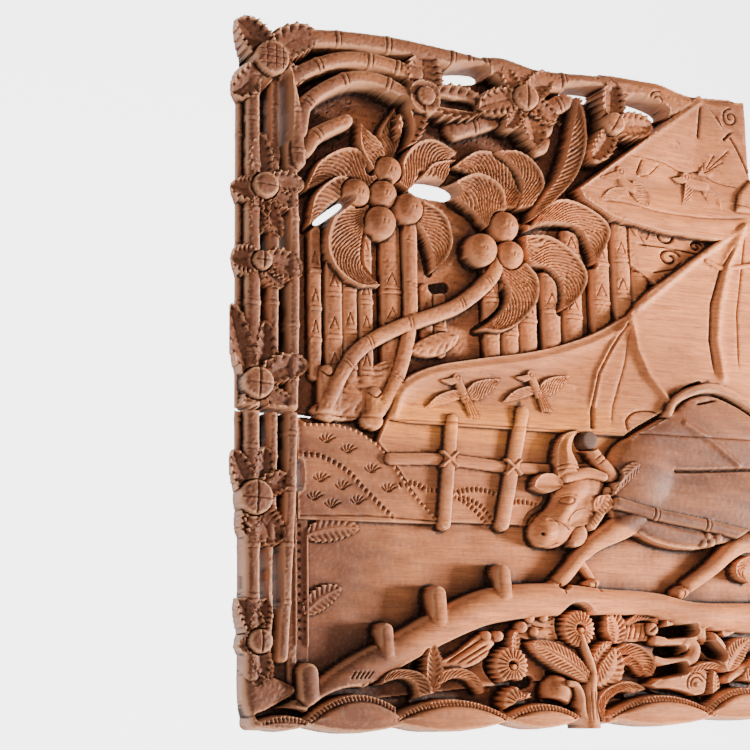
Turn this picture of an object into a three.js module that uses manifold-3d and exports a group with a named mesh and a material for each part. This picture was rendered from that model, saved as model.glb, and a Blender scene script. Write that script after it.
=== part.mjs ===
// Carved wooden wall panel: a village scene in deep relief on two edge-glued planks.
// Every motif is laid out in the carver's coordinates, in millimetres:
//   u runs along the panel from its left end, v up from its lower edge,
//   d is the height of the carving above the flat back.
// At the end the model is stood up: X = u - LENGTH / 2, Y = -d, Z = v - HEIGHT / 2,
// so the origin is the middle of the flat back, where the panel meets the wall.
import * as THREE from "three";
import { mergeVertices } from "three/addons/utils/BufferGeometryUtils.js";
import Module from "manifold-3d";

// ---- driving dimensions ---------------------------------------------------------------
const LENGTH = 540;
const HEIGHT = 610;
const THICKNESS = 40;
const SEAM = 264;
const SEAM_GAP = 0.3;
const CRACK_LENGTH = 95;
const CRACK_WIDTH = 3;
const LEAF_REACH = 9;
const SPARE = 20;

const ROOT = 1;
const GROUND = 5;
const BORDER_GROUND = 5;
const FIELD = 10;
const HILL_TOP = 13;
const STALK_TOP = 14;
const TENT_WALL = 15;
const TENT_TOP = 23;
const TRUNK_TOP = 22;
const FENCE_TOP = 23;
const FROND_TOP = 26;
const BODY_TOP = 28;
const LEAF_TOP = 28;
const ROD_TOP = 30;
const HARNESS_TOP = 37;
const LOG_TOP = 34;
const HUMP_TOP = 36;
const FLOWER_TOP = 39;

// The left end is bevelled back from BEVEL_DEPTH above the back plane, by BEVEL_SETBACK in all.
const BEVEL_DEPTH = 26;
const BEVEL_SETBACK = 20;

const BORDER_WIDTH = 60;
const CANE_WIDTH = 11;
const HOLLOW_FLOOR = 0.8;
const ROUND = Math.PI / 2;
const WIDE_BAR = 6.2;

const PLUG_CENTRE = [339.5, 254.5];
const PLUG_RADIUS = 8.3;
const PLUG_BASE = 6;
const PLUG_TOP = 29;

// ---- solids ---------------------------------------------------------------------------
const wasm = await Module();
wasm.setup();

function solid(geometry) {
  const bare = geometry.clone();
  bare.deleteAttribute("normal");
  bare.deleteAttribute("uv");
  const welded = mergeVertices(bare, 1e-3);
  return new wasm.Manifold(new wasm.Mesh({
    numProp: 3,
    vertProperties: Float32Array.from(welded.attributes.position.array),
    triVerts: Uint32Array.from(welded.index.array),
  }));
}

function joined(solids) {
  return solids.reduce((whole, piece) => whole.add(piece));
}

// The one connected body of a carved board, without loose chips or sealed pockets.
function mainBody(manifold) {
  const bodies = manifold.decompose();
  return bodies.reduce((largest, body) => (body.volume() > largest.volume() ? body : largest));
}

function geometryOf(manifold) {
  const mesh = manifold.getMesh();
  const geometry = new THREE.BufferGeometry();
  geometry.setAttribute("position", new THREE.BufferAttribute(Float32Array.from(mesh.vertProperties), 3));
  geometry.setIndex(new THREE.BufferAttribute(Uint32Array.from(mesh.triVerts), 1));
  return geometry;
}

const point = ([u, v]) => new THREE.Vector2(u, v);

// A smooth line through a few points, as count + 1 points.
function smooth(points, count) {
  return new THREE.SplineCurve(points.map(point)).getPoints(count).map((p) => [p.x, p.y]);
}

// The arc from a to b that stands `rise` to the left of the chord at its middle.
function arc(a, b, rise, count) {
  const along = point(b).sub(point(a));
  const left = new THREE.Vector2(-along.y, along.x).normalize();
  const control = point(a).lerp(point(b), 0.5).addScaledVector(left, 2 * rise);
  const curve = new THREE.QuadraticBezierCurve(point(a), control, point(b));
  return curve.getPoints(count).map((p) => [p.x, p.y]);
}

// A flat-topped block with an outline, cut off at the height `top`, its upper edge chamfered.
function plate(outline, top, chamfer = 0) {
  const shape = new THREE.Shape(outline.map(point));
  const geometry = new THREE.ExtrudeGeometry(shape, {
    depth: top - ROOT - 2 * chamfer,
    steps: 1,
    bevelEnabled: chamfer > 0,
    bevelThickness: chamfer,
    bevelSize: chamfer,
    bevelOffset: -chamfer,
    bevelSegments: 1,
  });
  return solid(geometry.translate(0, 0, ROOT + chamfer));
}

// The outline of a leaf or frond: two arcs between its root and its tip.
function blade(root, tip, leftRise, rightRise, count = 5) {
  const leftSide = arc(root, tip, leftRise, count);
  const rightSide = arc(tip, root, rightRise, count);
  return [...leftSide, ...rightSide.slice(1, -1)];
}

// A round-backed bar that follows a line through the points; its crest is at `top`.
function bar(points, halfWidth, top, steps = points.length - 1) {
  const shoulder = top - 0.8 * halfWidth;
  const crest = halfWidth > WIDE_BAR ? [[top, -0.4 * halfWidth], [top, 0.4 * halfWidth]] : [[top, 0]];
  const section = [
    [ROOT, -halfWidth], [shoulder, -halfWidth], ...crest, [shoulder, halfWidth], [ROOT, halfWidth],
  ];
  const path = new THREE.CatmullRomCurve3(points.map(([u, v]) => new THREE.Vector3(u, v, 0)));
  const shape = new THREE.Shape(section.map(([height, side]) => new THREE.Vector2(-height, side)));
  return solid(new THREE.ExtrudeGeometry(shape, { extrudePath: path, steps, bevelEnabled: false }));
}

// A short ring round a bar, where a cane has its node.
function node([u, v], angle, halfWidth, top) {
  const along = [Math.cos(angle), Math.sin(angle)];
  const half = 1.6;
  const from = [u - half * along[0], v - half * along[1]];
  const to = [u + half * along[0], v + half * along[1]];
  return bar([from, to], halfWidth, top, 1);
}

function disc([u, v], radius, top, sides = 14, crown = 0) {
  const profile = [[0, ROOT], [radius, ROOT], [radius, top - crown], [0.72 * radius, top], [0, top]];
  const lathe = new THREE.LatheGeometry(profile.map(point), sides);
  return solid(lathe.rotateX(Math.PI / 2).translate(u, v, 0));
}

function ball([u, v], radius, depth, stretch = [1, 1, 1], turn = 0, detail = 8) {
  const sphere = new THREE.SphereGeometry(radius, detail, Math.round(0.7 * detail));
  sphere.rotateX(Math.PI / 2).scale(...stretch).rotateZ(turn).translate(u, v, depth);
  return solid(sphere);
}

// ---- flowers of the border: a button with serrated leaves ---------------------------------
function serratedLeaf(root, tip, halfWidth, top, teeth = 2) {
  const outline = [];
  const sides = [[root, tip], [tip, root]];
  for (const [from, to] of sides) {
    const edge = arc(from, to, halfWidth, 2 * teeth);
    const centre = point(root).lerp(point(tip), 0.5);
    edge.slice(0, -1).forEach((p, i) => {
      const cut = i % 2 === 1 || i === 0 ? 0 : 0.14;
      outline.push(point(p).lerp(centre, cut).toArray());
    });
  }
  return plate(outline, top);
}

function flower(centre, radius, leaves, top) {
  const blades = leaves.map(([tip, halfWidth]) => serratedLeaf(centre, tip, halfWidth, top - 5));
  return joined([...blades, disc(centre, radius, top, 10, 3)]);
}

const TOP_FLOWERS = [
  {
    centre: [27, 574],
    radius: 15,
    leaves: [[[-3, 609], 11], [[73, 606], 13], [[-7, 539], 10], [[62, 563], 9]],
  },
  { centre: [176, 561], radius: 10, leaves: [[[179, 606], 15], [[238, 562], 11], [[159, 516], 12]] },
  {
    centre: [282, 576],
    radius: 12,
    leaves: [[[257, 608], 9], [[312, 608], 10], [[235, 559], 9], [[295, 532], 11]],
  },
  { centre: [379, 564], radius: 11, leaves: [[[384, 610], 11], [[426, 568], 9], [[357, 528], 9]] },
];

const LEFT_FLOWERS = [
  {
    centre: [22, 458],
    radius: 11,
    leaves: [[[-9, 458], 9], [[20, 504], 9], [[58, 458], 9], [[16, 415], 7], [[39, 417], 6]],
  },
  { centre: [19, 391], radius: 8, leaves: [[[-7, 391], 9], [[57, 387], 11]] },
  {
    centre: [15, 285],
    radius: 13,
    leaves: [[[-6, 353], 10], [[24, 344], 9], [[62, 303], 10], [[52, 272], 7]],
  },
  { centre: [13, 189], radius: 14, leaves: [[[-4, 228], 9], [[22, 229], 8], [[47, 203], 9], [[24, 149], 12]] },
  { centre: [17, 72], radius: 10, leaves: [[[-1, 106], 8], [[26, 108], 8], [[1, 42], 8], [[30, 44], 8]] },
];

function borderFlowers(list) {
  return joined(list.map(({ centre, radius, leaves }) => flower(centre, radius, leaves, FLOWER_TOP)));
}

// ---- canes of the border ------------------------------------------------------------------
const LEFT_CANES = [
  { line: [[12, 14], [12.5, 570]], halfWidth: 6.4, top: ROD_TOP, nodes: [[12, 238], [12.5, 492]] },
  { line: [[25, 60], [31, 230], [34, 570]], halfWidth: 4.2, top: ROD_TOP - 4, nodes: [[31, 262], [33.5, 468]] },
  {
    line: [[39, 60], [47, 230], [50, 400], [44, 570]],
    halfWidth: 5,
    top: ROD_TOP - 1,
    nodes: [[47, 240], [50, 448]],
  },
];

function leftCanes() {
  const pieces = [];
  for (const { line, halfWidth, top, nodes } of LEFT_CANES) {
    pieces.push(bar(line, halfWidth, top, 2 * line.length - 3));
    nodes.forEach((spot) => pieces.push(node(spot, Math.PI / 2, halfWidth + 1, top + 1)));
  }
  return joined(pieces);
}

const TOP_CANES = [
  [[60, 603], [140, 609], [238, 603]],
  [[44, 560], [82, 580], [126, 590], [166, 585]],
  [[55, 516], [63, 541], [84, 559], [118, 572], [160, 562]],
  [[64, 500], [80, 518], [98, 527]],
  [[42, 566], [50, 530], [56, 485]],
  [[196, 548], [232, 551], [256, 534]],
  [[236, 602], [300, 594], [350, 580]],
  [[300, 582], [318, 562], [334, 540]],
];

function topCanes() {
  const pieces = [];
  for (const line of TOP_CANES) {
    pieces.push(bar(line, CANE_WIDTH / 2, ROD_TOP + 2, line.length));
  }
  return joined(pieces);
}

// The solid rim above the tents, and the flat rim ground behind the canes.
const RIM = [[236, 612], [275, 607], [350, 614], [432, 616], [480, 608], [541, 608],
  [541, 584], [505, 598], [470, 590], [420, 580], [350, 592], [290, 596]];

// ---- palms ----------------------------------------------------------------------------------
const PALMS = [
  {
    nuts: [[[143, 490], 13], [[138, 467], 13], [[111, 464], 13.5], [[134, 440], 15], [[162, 456], 14]],
    fronds: [
      [[139, 496], [114, 534], 10, 7, FROND_TOP], [[150, 500], [141, 552], 9, 7, FROND_TOP - 4],
      [[126, 484], [64, 458], -16, 30, FROND_TOP], [[120, 474], [64, 428], -15, 26, FROND_TOP - 3],
      [[122, 452], [136, 380], -48, 4, FROND_TOP], [[152, 496], [217, 508], 26, 2, FROND_TOP - 2],
      [[160, 478], [213, 484], 20, 3, FROND_TOP - 6], [[166, 460], [192, 403], 26, -9, FROND_TOP],
    ],
  },
  {
    nuts: [[[261, 451], 14.5], [[236, 426], 15], [[266, 424], 13.5]],
    fronds: [
      [[246, 446], [200, 466], -38, 3, FROND_TOP], [[262, 470], [216, 515], -34, 6, FROND_TOP - 6],
      [[272, 470], [258, 526], -32, 8, FROND_TOP - 2], [[290, 466], [347, 592], -24, 10, FROND_TOP + 4],
      [[284, 456], [362, 426], 24, -8, FROND_TOP], [[279, 442], [320, 378], 30, -6, FROND_TOP - 2],
      [[262, 414], [234, 350], 42, 2, FROND_TOP],
    ],
  },
];

const TRUNKS = [
  { line: [[166, 440], [165, 380], [161, 340], [143, 284], [122, 256]], halfWidth: 7, top: TRUNK_TOP - 2 },
  {
    line: [[256, 420], [234, 388], [193, 363], [153, 347], [118, 327], [97, 299], [80, 262]],
    halfWidth: 7,
    top: TRUNK_TOP,
  },
];

function palm({ nuts, fronds }) {
  const pieces = [];
  for (const [root, tip, leftRise, rightRise, top] of fronds) {
    pieces.push(plate(blade(root, tip, leftRise, rightRise, 6), top));
  }
  for (const [centre, radius] of nuts) {
    pieces.push(ball(centre, radius, FROND_TOP - 9, [1, 1, 1.25]));
  }
  return joined(pieces);
}

// ---- bamboo thicket -----------------------------------------------------------------------
const STALKS = [
  { u: 74, width: 11, foot: 312, head: 426 }, { u: 91, width: 14, foot: 268, head: 428 },
  { u: 107, width: 12, foot: 300, head: 430 }, { u: 124, width: 12, foot: 268, head: 428 },
  { u: 149, width: 18, foot: 318, head: 432 }, { u: 184, width: 12, foot: 330, head: 384 },
  { u: 249, width: 15, foot: 326, head: 410 }, { u: 268, width: 16, foot: 330, head: 420 },
  { u: 288, width: 17, foot: 336, head: 430 }, { u: 312, width: 19, foot: 342, head: 440 },
  { u: 337, width: 20, foot: 350, head: 450 }, { u: 368, width: 20, foot: 362, head: 470 },
  { u: 391, width: 18, foot: 374, head: 472 }, { u: 413, width: 18, foot: 392, head: 458 },
];

function thicket() {
  const pieces = [];
  for (const { u, width, foot, head } of STALKS) {
    pieces.push(bar([[u, foot], [u + 1, head]], 0.46 * width, STALK_TOP, 1));
  }
  return joined(pieces);
}

// ---- tents --------------------------------------------------------------------------------
const UPPER_TENT = [[486, 612], [341, 496], [344, 486], [376, 471], [430, 464], [497, 462], [541, 484],
  [541, 548]];
const RIDGE = [[143, 268], [153, 295], [183, 313], [230, 324], [292, 336], [347, 354], [390, 376], [415, 401],
  [534, 486]];

function tents() {
  const lowerTents = [...RIDGE, [541, 484], [541, 176], [250, 176], [190, 176], [163, 205], [150, 228],
    [130, 250]];
  const fold = (line, halfWidth) => bar(line, halfWidth, TENT_TOP + 3);
  return joined([
    plate(UPPER_TENT, TENT_TOP + 4, 3),
    plate(lowerTents, TENT_WALL, 0),
    plate([...RIDGE.slice(4), [541, 484], [541, 250], [400, 262], [350, 268], [346, 300]], TENT_TOP, 3),
    fold([[486, 606], [414, 548], [343, 491]], 3),
    fold([[533, 482], [470, 440], [392, 376]], 3),
    fold([[390, 374], [397, 340], [419, 301], [433, 290]], 3.5),
    fold([[388, 374], [362, 340], [350, 300], [348, 270]], 3.5),
    fold([[522, 470], [498, 420], [489, 362], [494, 328]], 4),
    fold([[141, 280], [183, 309], [230, 320], [292, 332], [388, 374]], 2.5),
  ]);
}

function birds() {
  const bird = ([u, v], top, size) => joined([
    plate(blade([u + 12 * size, v - 16 * size], [u - 13 * size, v + 10 * size], 5 * size, 5 * size, 3), top + 1),
    plate(blade([u, v], [u - 24 * size, v - 12 * size], 5 * size, 4 * size, 2), top),
    plate(blade([u, v], [u + 28 * size, v + 12 * size], 5 * size, 4 * size, 2), top),
  ]);
  return joined([
    bird([212, 290], TENT_WALL + 4, 1.3), bird([288, 299], TENT_WALL + 4, 1.3),
    bird([403, 513], TENT_TOP + 7, 1.3), bird([480, 522], TENT_TOP + 7, 1.5),
  ]);
}

// ---- hills, fence and field -----------------------------------------------------------------
const HILL = [[56, 176], [56, 262], [93, 260], [114, 254], [133, 242], [149, 222], [163, 202], [187, 176]];

function fence() {
  return joined([
    bar([[206, 266], [196, 174]], 5.5, FENCE_TOP, 1),
    bar([[277, 277], [254, 176]], 6, FENCE_TOP, 1),
    bar([[142, 230], [196, 231], [257, 227], [310, 227], [350, 230]], 5, FENCE_TOP - 3, 6),
  ]);
}

const FIELD_OUTLINE = [[56, 180], [56, 30], [97, 56], [138, 77], [238, 118], [350, 116], [541, 106], [541, 180]];

// ---- log and pegs ---------------------------------------------------------------------------
const LOG_UPPER = [[2, 6], [57, 30], [97, 56], [138, 77], [192, 104], [238, 121], [298, 124], [350, 119],
  [400, 117], [445, 109], [541, 110]];
const LOG_LOWER = [[541, 82], [453, 86], [397, 96], [330, 98], [262, 92], [219, 84], [180, 66], [127, 42],
  [60, 0]];
const PEG_WIDTH = 16;
const PEGS = [
  { at: [62, 30], head: 44 }, { at: [129, 70], head: 82 },
  { at: [180, 97], head: 113 }, { at: [244, 118], head: 132 },
];

function logWithPegs() {
  const outline = [...smooth(LOG_UPPER, 11), ...smooth(LOG_LOWER, 8)];
  const pegs = PEGS.map(({ at, head }) => joined([
    bar([at, [at[0], head]], PEG_WIDTH / 2, LOG_TOP + 2, 1),
    ball([at[0], head], PEG_WIDTH / 2, LOG_TOP - 8, [1, 0.9, 1.2]),
  ]));
  return joined([plate(outline, LOG_TOP, 7), ...pegs]);
}

// ---- lower foliage band and edge humps ------------------------------------------------------
const HUMPS = [
  [0, 58, 10, 3], [52, 136, 24, 7], [128, 249, 28, 9], [240, 309, 20, 5], [345, 447, 26, 6], [438, 545, 22, 5],
];

function humps() {
  const hump = ([from, to, rise, sag]) => plate(blade([from, 5], [to, 6], rise, sag, 5), HUMP_TOP, 3);
  return joined(HUMPS.map(hump));
}

const FOLIAGE_LEAVES = [
  [[330, 32], [271, 72], 9], [[333, 34], [362, 74], 9], [[340, 20], [404, 62], 13], [[172, 36], [127, 44], 7],
  [[174, 36], [169, 70], 6], [[176, 34], [228, 48], 7], [[470, 40], [509, 72], 8], [[300, 32], [286, 12], 10],
];

function foliage() {
  const leaves = FOLIAGE_LEAVES.map(([root, tip, half]) => serratedLeaf(root, tip, half, LEAF_TOP));
  const wheels = [[[325, 83], 14], [[253, 52], 15], [[260, 18], 14]];
  return joined([
    ...leaves,
    ...wheels.map(([centre, radius]) => disc(centre, radius, LEAF_TOP, 10, 4)),
    bar([[330, 2], [332, 26], [326, 70]], 5, LEAF_TOP, 4),
    bar([[340, 6], [366, 34], [392, 30], [388, 8]], 5, LEAF_TOP, 8),
    bar([[442, 82], [470, 62], [480, 46]], 5, LEAF_TOP, 4),
    ball([304, 28], 15, LEAF_TOP - 14, [1, 0.9, 1]),
    bar([[200, 44], [244, 76]], 9, LEAF_TOP - 8, 1),
    bar([[408, 70], [470, 66], [520, 76]], 4, LEAF_TOP - 6, 4),
  ]);
}

// ---- water buffalo ----------------------------------------------------------------------------
const BODY = [[362, 176], [364, 228], [384, 258], [425, 285], [453, 309], [470, 313], [510, 298], [541, 291],
  [541, 164], [474, 160], [400, 166]];
const HOOVES = [[303, 122], [334, 123], [434, 117]];

function buffaloHead() {
  return joined([
    ball([326, 196], 24, BODY_TOP - 16, [0.95, 1.25, 0.95], -0.5, 9),
    ball([299, 170], 17, BODY_TOP - 14, [1.15, 0.85, 1.1], -0.6, 8),
    plate(blade([308, 204], [278, 222], 6, 7, 3), BODY_TOP + 2),
    plate(blade([340, 200], [362, 196], 8, 8, 3), BODY_TOP + 6),
    bar([[316, 216], [304, 236], [311, 254], [328, 263]], 6, BODY_TOP + 2),
    bar([[346, 216], [363, 228], [357, 242], [349, 246]], 6, BODY_TOP + 2),
  ]);
}

function buffalo() {
  const hoof = ([u, v]) => ball([u, v], 9, BODY_TOP - 8, [1.1, 0.8, 1.3], 0.3, 6);
  return joined([
    plate(BODY, BODY_TOP, 5),
    ball([404, 226], 42, BODY_TOP - 16, [1, 1.02, 0.64], 0, 9),
    ball([490, 230], 76, BODY_TOP - 22, [1.2, 0.86, 0.42], 0, 9),
    buffaloHead(),
    bar([[392, 184], [352, 156], [306, 124]], 9, BODY_TOP - 2),
    bar([[362, 160], [344, 140], [336, 124]], 7, BODY_TOP - 10),
    bar([[500, 176], [468, 146], [436, 118]], 10, BODY_TOP - 2),
    ...HOOVES.map(hoof),
    bar([[370, 196], [440, 186], [541, 176]], 7, HARNESS_TOP, 5),
    bar([[376, 182], [430, 168], [478, 164]], 9, HARNESS_TOP - 5, 4),
    bar([[443, 278], [476, 262], [508, 243]], 4, HARNESS_TOP + 1, 4),
    plate(blade([512, 162], [500, 128], 9, 8, 3), BODY_TOP - 4),
  ]);
}

// ---- slab, openings and cuts -------------------------------------------------------------------
const OUTLINE_TOP = [[541, 608], [480, 608], [433, 616], [348, 614], [275, 607], [234, 612], [166, 616], [126, 617],
  [60, 609], [2, 607]];
const OUTLINE_BOTTOM = [[5, 12], [36, 4], [58, 6], [100, 4], [136, 9], [190, 4], [249, 5], [285, 4], [309, 7],
  [350, 6], [400, 5], [446, 8], [500, 6], [541, 7]];

// Pierced gaps: an elongated opening from one end to the other, `half` wide at its middle.
const GAPS = [
  [[211, 592], [241, 597], 5], [[334, 594], [371, 596], 5], [[408, 594], [442, 590], 6],
  [[79, 438], [104, 458], 3], [[174, 481], [214, 480], 8],
  [[22, 484], [22, 552], 2.4], [[41, 504], [42, 562], 2.8], [[41.5, 404], [41.5, 452], 3],
  [[21.5, 214], [21, 258], 2], [[22, 100], [22, 150], 2.6], [[34, 100], [34.5, 150], 2.6], [[58, 200], [58, 222], 3],
];

// Deep hollows that stop just short of the back.
const HOLLOWS = [
  [[190, 387], [206, 391], 6],
  [[417, 81], [444, 83], 6], [[413, 64], [432, 64], 5], [[461, 82], [462, 76], 5], [[465, 69], [474, 60], 5],
  [[407, 45], [433, 49], 6], [[263, 34], [278, 38], 6],
];

function throughCut(shape) {
  const cutter = new THREE.ExtrudeGeometry(shape, { depth: THICKNESS + 2 * SPARE, bevelEnabled: false });
  return solid(cutter.translate(0, 0, -SPARE));
}

function lens([from, to, half]) {
  return new THREE.Shape(blade(from, to, half, half, 4).map(point));
}

function gap(place) {
  return throughCut(lens(place));
}

function hollow(place) {
  const cutter = new THREE.ExtrudeGeometry(lens(place), { depth: THICKNESS + SPARE, bevelEnabled: false });
  return solid(cutter.translate(0, 0, HOLLOW_FLOOR));
}

function block([u0, v0, d0], [u1, v1, d1]) {
  const box = new THREE.BoxGeometry(u1 - u0, v1 - v0, d1 - d0);
  return solid(box.translate((u0 + u1) / 2, (v0 + v1) / 2, (d0 + d1) / 2));
}

function slab() {
  const outline = new THREE.Shape([...OUTLINE_BOTTOM, ...OUTLINE_TOP].map(point));
  return solid(new THREE.ExtrudeGeometry(outline, { depth: BORDER_GROUND, bevelEnabled: false }));
}

function crack() {
  const wedge = [[-SPARE, SEAM + CRACK_WIDTH / 2], [-SPARE, SEAM - CRACK_WIDTH / 2], [CRACK_LENGTH, SEAM]];
  return throughCut(new THREE.Shape(wedge.map(point)));
}

// The wedge below the bevel of the left end, as long as the panel is high.
function endBevel() {
  const slope = BEVEL_SETBACK / BEVEL_DEPTH;
  const front = -LEAF_REACH - 1;
  const back = front + BEVEL_SETBACK + slope;
  const profile = [[-2 * SPARE, -1], [back, -1], [front, BEVEL_DEPTH], [-2 * SPARE, BEVEL_DEPTH]];
  const wedge = new THREE.ExtrudeGeometry(new THREE.Shape(profile.map(point)), {
    depth: HEIGHT + 2 * SPARE,
    bevelEnabled: false,
  });
  return solid(wedge.rotateX(ROUND).translate(0, HEIGHT + SPARE, 0));
}

function carving() {
  const ground = plate([[BORDER_WIDTH, 20], [541, 20], [541, 600], [BORDER_WIDTH, 600]], GROUND, 0);
  const field = plate(FIELD_OUTLINE, FIELD, 0);
  const trunks = TRUNKS.map(({ line, halfWidth, top }) => bar(line, halfWidth, top, 9));
  const carved = joined([
    slab(), ground, field, leftCanes(), topCanes(), borderFlowers(TOP_FLOWERS), borderFlowers(LEFT_FLOWERS),
    plate(RIM, ROD_TOP, 2), thicket(), ...trunks, ...PALMS.map(palm), tents(), birds(), plate(HILL, HILL_TOP, 0),
    fence(), logWithPegs(), humps(), foliage(), buffalo(),
  ]);
  const envelope = block([-LEAF_REACH, -LEAF_REACH, 0], [LENGTH, HEIGHT + LEAF_REACH, THICKNESS]);
  return carved.intersect(envelope).subtract(joined([...GAPS.map(gap), ...HOLLOWS.map(hollow), crack(), endBevel()]));
}

// ---- the three pieces ----------------------------------------------------------------------------
const whole = carving();
const aboveSeam = block([-SPARE, SEAM + SEAM_GAP / 2, -1], [LENGTH + SPARE, HEIGHT + SPARE, THICKNESS + 1]);
const belowSeam = block([-SPARE, -SPARE, -1], [LENGTH + SPARE, SEAM - SEAM_GAP / 2, THICKNESS + 1]);
const upper = mainBody(whole.intersect(aboveSeam));
const lower = mainBody(whole.intersect(belowSeam).subtract(
  solid(plugCylinder(PLUG_RADIUS + SEAM_GAP, PLUG_BASE, THICKNESS + 2)),
));

function plugCylinder(radius, base, top) {
  const cylinder = new THREE.CylinderGeometry(radius, radius, top - base, 24);
  return cylinder.rotateX(ROUND).translate(PLUG_CENTRE[0], PLUG_CENTRE[1], (base + top) / 2);
}

function stood(geometry, name, colour, roughness) {
  geometry.rotateX(ROUND).translate(-LENGTH / 2, 0, -HEIGHT / 2);
  const material = new THREE.MeshStandardMaterial({ color: colour, roughness, metalness: 0 });
  const mesh = new THREE.Mesh(geometry, material);
  mesh.name = name;
  return mesh;
}

const panel = new THREE.Group();
panel.add(stood(geometryOf(upper), "upper_board", 0x9a6849, 0.5));
panel.add(stood(geometryOf(lower), "lower_board", 0xa87450, 0.5));
panel.add(stood(plugCylinder(PLUG_RADIUS, PLUG_BASE + SEAM_GAP, PLUG_TOP), "horn_plug", 0x6c5045, 0.6));

export default panel;
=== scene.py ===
"""A carved teak wall panel, two glued planks, in the frame of its CAD model.

The relief is one field of carving heights over the panel, worked out motif by motif in the carver's
coordinates, in millimetres: u along the panel from its left end, v up from its lower edge, and the
height above the flat back. Each plank is then cut out of that field as one closed mesh.
"""
import math

import bmesh
import bpy
import numpy as np
from mathutils import Matrix, Vector


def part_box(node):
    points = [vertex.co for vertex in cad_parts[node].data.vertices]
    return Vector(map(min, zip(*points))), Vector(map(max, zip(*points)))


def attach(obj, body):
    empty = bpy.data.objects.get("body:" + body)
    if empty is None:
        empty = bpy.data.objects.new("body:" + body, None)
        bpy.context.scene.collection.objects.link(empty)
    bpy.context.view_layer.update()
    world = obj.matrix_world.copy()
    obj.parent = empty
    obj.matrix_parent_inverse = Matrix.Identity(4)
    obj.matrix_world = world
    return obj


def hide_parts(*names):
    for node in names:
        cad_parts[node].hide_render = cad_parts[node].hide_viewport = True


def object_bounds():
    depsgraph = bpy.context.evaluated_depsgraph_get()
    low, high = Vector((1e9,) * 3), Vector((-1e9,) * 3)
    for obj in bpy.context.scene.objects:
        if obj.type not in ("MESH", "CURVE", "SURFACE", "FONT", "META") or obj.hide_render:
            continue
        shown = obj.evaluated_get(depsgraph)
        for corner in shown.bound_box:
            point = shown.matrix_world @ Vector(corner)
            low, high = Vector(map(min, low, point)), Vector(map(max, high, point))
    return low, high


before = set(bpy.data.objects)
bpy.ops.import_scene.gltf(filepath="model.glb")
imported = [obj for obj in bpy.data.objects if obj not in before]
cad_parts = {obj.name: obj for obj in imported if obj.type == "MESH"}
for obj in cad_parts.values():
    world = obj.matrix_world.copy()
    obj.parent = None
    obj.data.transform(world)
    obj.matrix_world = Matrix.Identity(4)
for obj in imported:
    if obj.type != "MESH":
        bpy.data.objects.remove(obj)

# ---- the frame -----------------------------------------------------------------------
MM = 0.001
CAD_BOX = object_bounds()
UPPER_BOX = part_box("upper_board")
LOWER_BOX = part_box("lower_board")
PLUG_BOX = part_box("horn_plug")

LENGTH = 2 * CAD_BOX[1][0] / MM
HEIGHT = 610.0
U_MIN = CAD_BOX[0][0] / MM + LENGTH / 2 + 0.2
V_MIN = CAD_BOX[0][2] / MM + HEIGHT / 2 + 0.1
V_MAX = CAD_BOX[1][2] / MM + HEIGHT / 2 - 0.1
TOP_LIMIT = -CAD_BOX[0][1] / MM - 0.1
SEAM_LOW = LOWER_BOX[1][2] / MM + HEIGHT / 2
SEAM_HIGH = UPPER_BOX[0][2] / MM + HEIGHT / 2
SEAM = (SEAM_LOW + SEAM_HIGH) / 2
PLUG_U = (PLUG_BOX[0][0] + PLUG_BOX[1][0]) / 2 / MM + LENGTH / 2
PLUG_V = (PLUG_BOX[0][2] + PLUG_BOX[1][2]) / 2 / MM + HEIGHT / 2
PLUG_R = (PLUG_BOX[1][0] - PLUG_BOX[0][0]) / 2 / MM

# ---- carving heights above the flat back ---------------------------------------------
OUTSIDE = -6.0
BORDER = 5.0
GROUND = 5.0
FIELD = 10.0
STALK = 15.0
TENT_WALL = 15.0
TENT = 22.0
UPPER_TENT = 25.0
FROND = 25.0
NUT = 35.0
CANE = 29.0
FLOWER = 38.5
LOG = 34.0
HUMP = 35.0
LEAF = 28.0
# DEEP: the floor of the blind holes, which the material paints dark as shade through its recess colour
DEEP = 0.6
STEEP = 14.0
BACK_SKIN = 0.3

# The viewer's turn to the side, look upward and tilt, then the place from the panel's lower left corner.
YAW, PITCH, ROLL = 25.0, 11.6, -0.88
VIEWER = (-450.0, -1258.0, 21.0)
FOCAL_LENGTH = 76.9

BELOW_BACK = 10.0
END_BEVEL = (20.0, 26.0)
CRACK_LENGTH = 98.0
BOARD_TRIANGLES = 190000
SHARP_ANGLE = math.radians(50)

CELL = 0.68
RNG = np.random.default_rng(27)

US = np.arange(U_MIN, LENGTH + CELL, CELL)
US[-1] = LENGTH
VS = np.arange(V_MIN, V_MAX, CELL)
U, V = np.meshgrid(US, VS)
H = np.full(U.shape, OUTSIDE)


# ---- lines and windows ---------------------------------------------------------------
def arc(start, end, rise=0.0, count=14):
    """The quadratic arc from start to end whose middle stands `rise` to the left of the chord."""
    start, end = np.array(start, float), np.array(end, float)
    along = end - start
    left = np.array([-along[1], along[0]]) / max(1e-6, math.hypot(*along))
    control = (start + end) / 2 + 2 * rise * left
    t = np.linspace(0, 1, count + 1)[:, None]
    return (1 - t) ** 2 * start + 2 * t * (1 - t) * control + t ** 2 * end


def spline(points, per_span=8):
    """A smooth line through the points."""
    p = np.array(points, float)
    if len(p) < 3:
        return p
    p = np.vstack([2 * p[0] - p[1], p, 2 * p[-1] - p[-2]])
    t = np.linspace(0, 1, per_span, endpoint=False)[:, None]
    spans = []
    for a, b, c, d in zip(p[:-3], p[1:-2], p[2:-1], p[3:]):
        spans.append(0.5 * (2 * b + (c - a) * t + (2 * a - 5 * b + 4 * c - d) * t ** 2
                            + (3 * b - a - 3 * c + d) * t ** 3))
    return np.vstack(spans + [p[-2:-1]])


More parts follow.
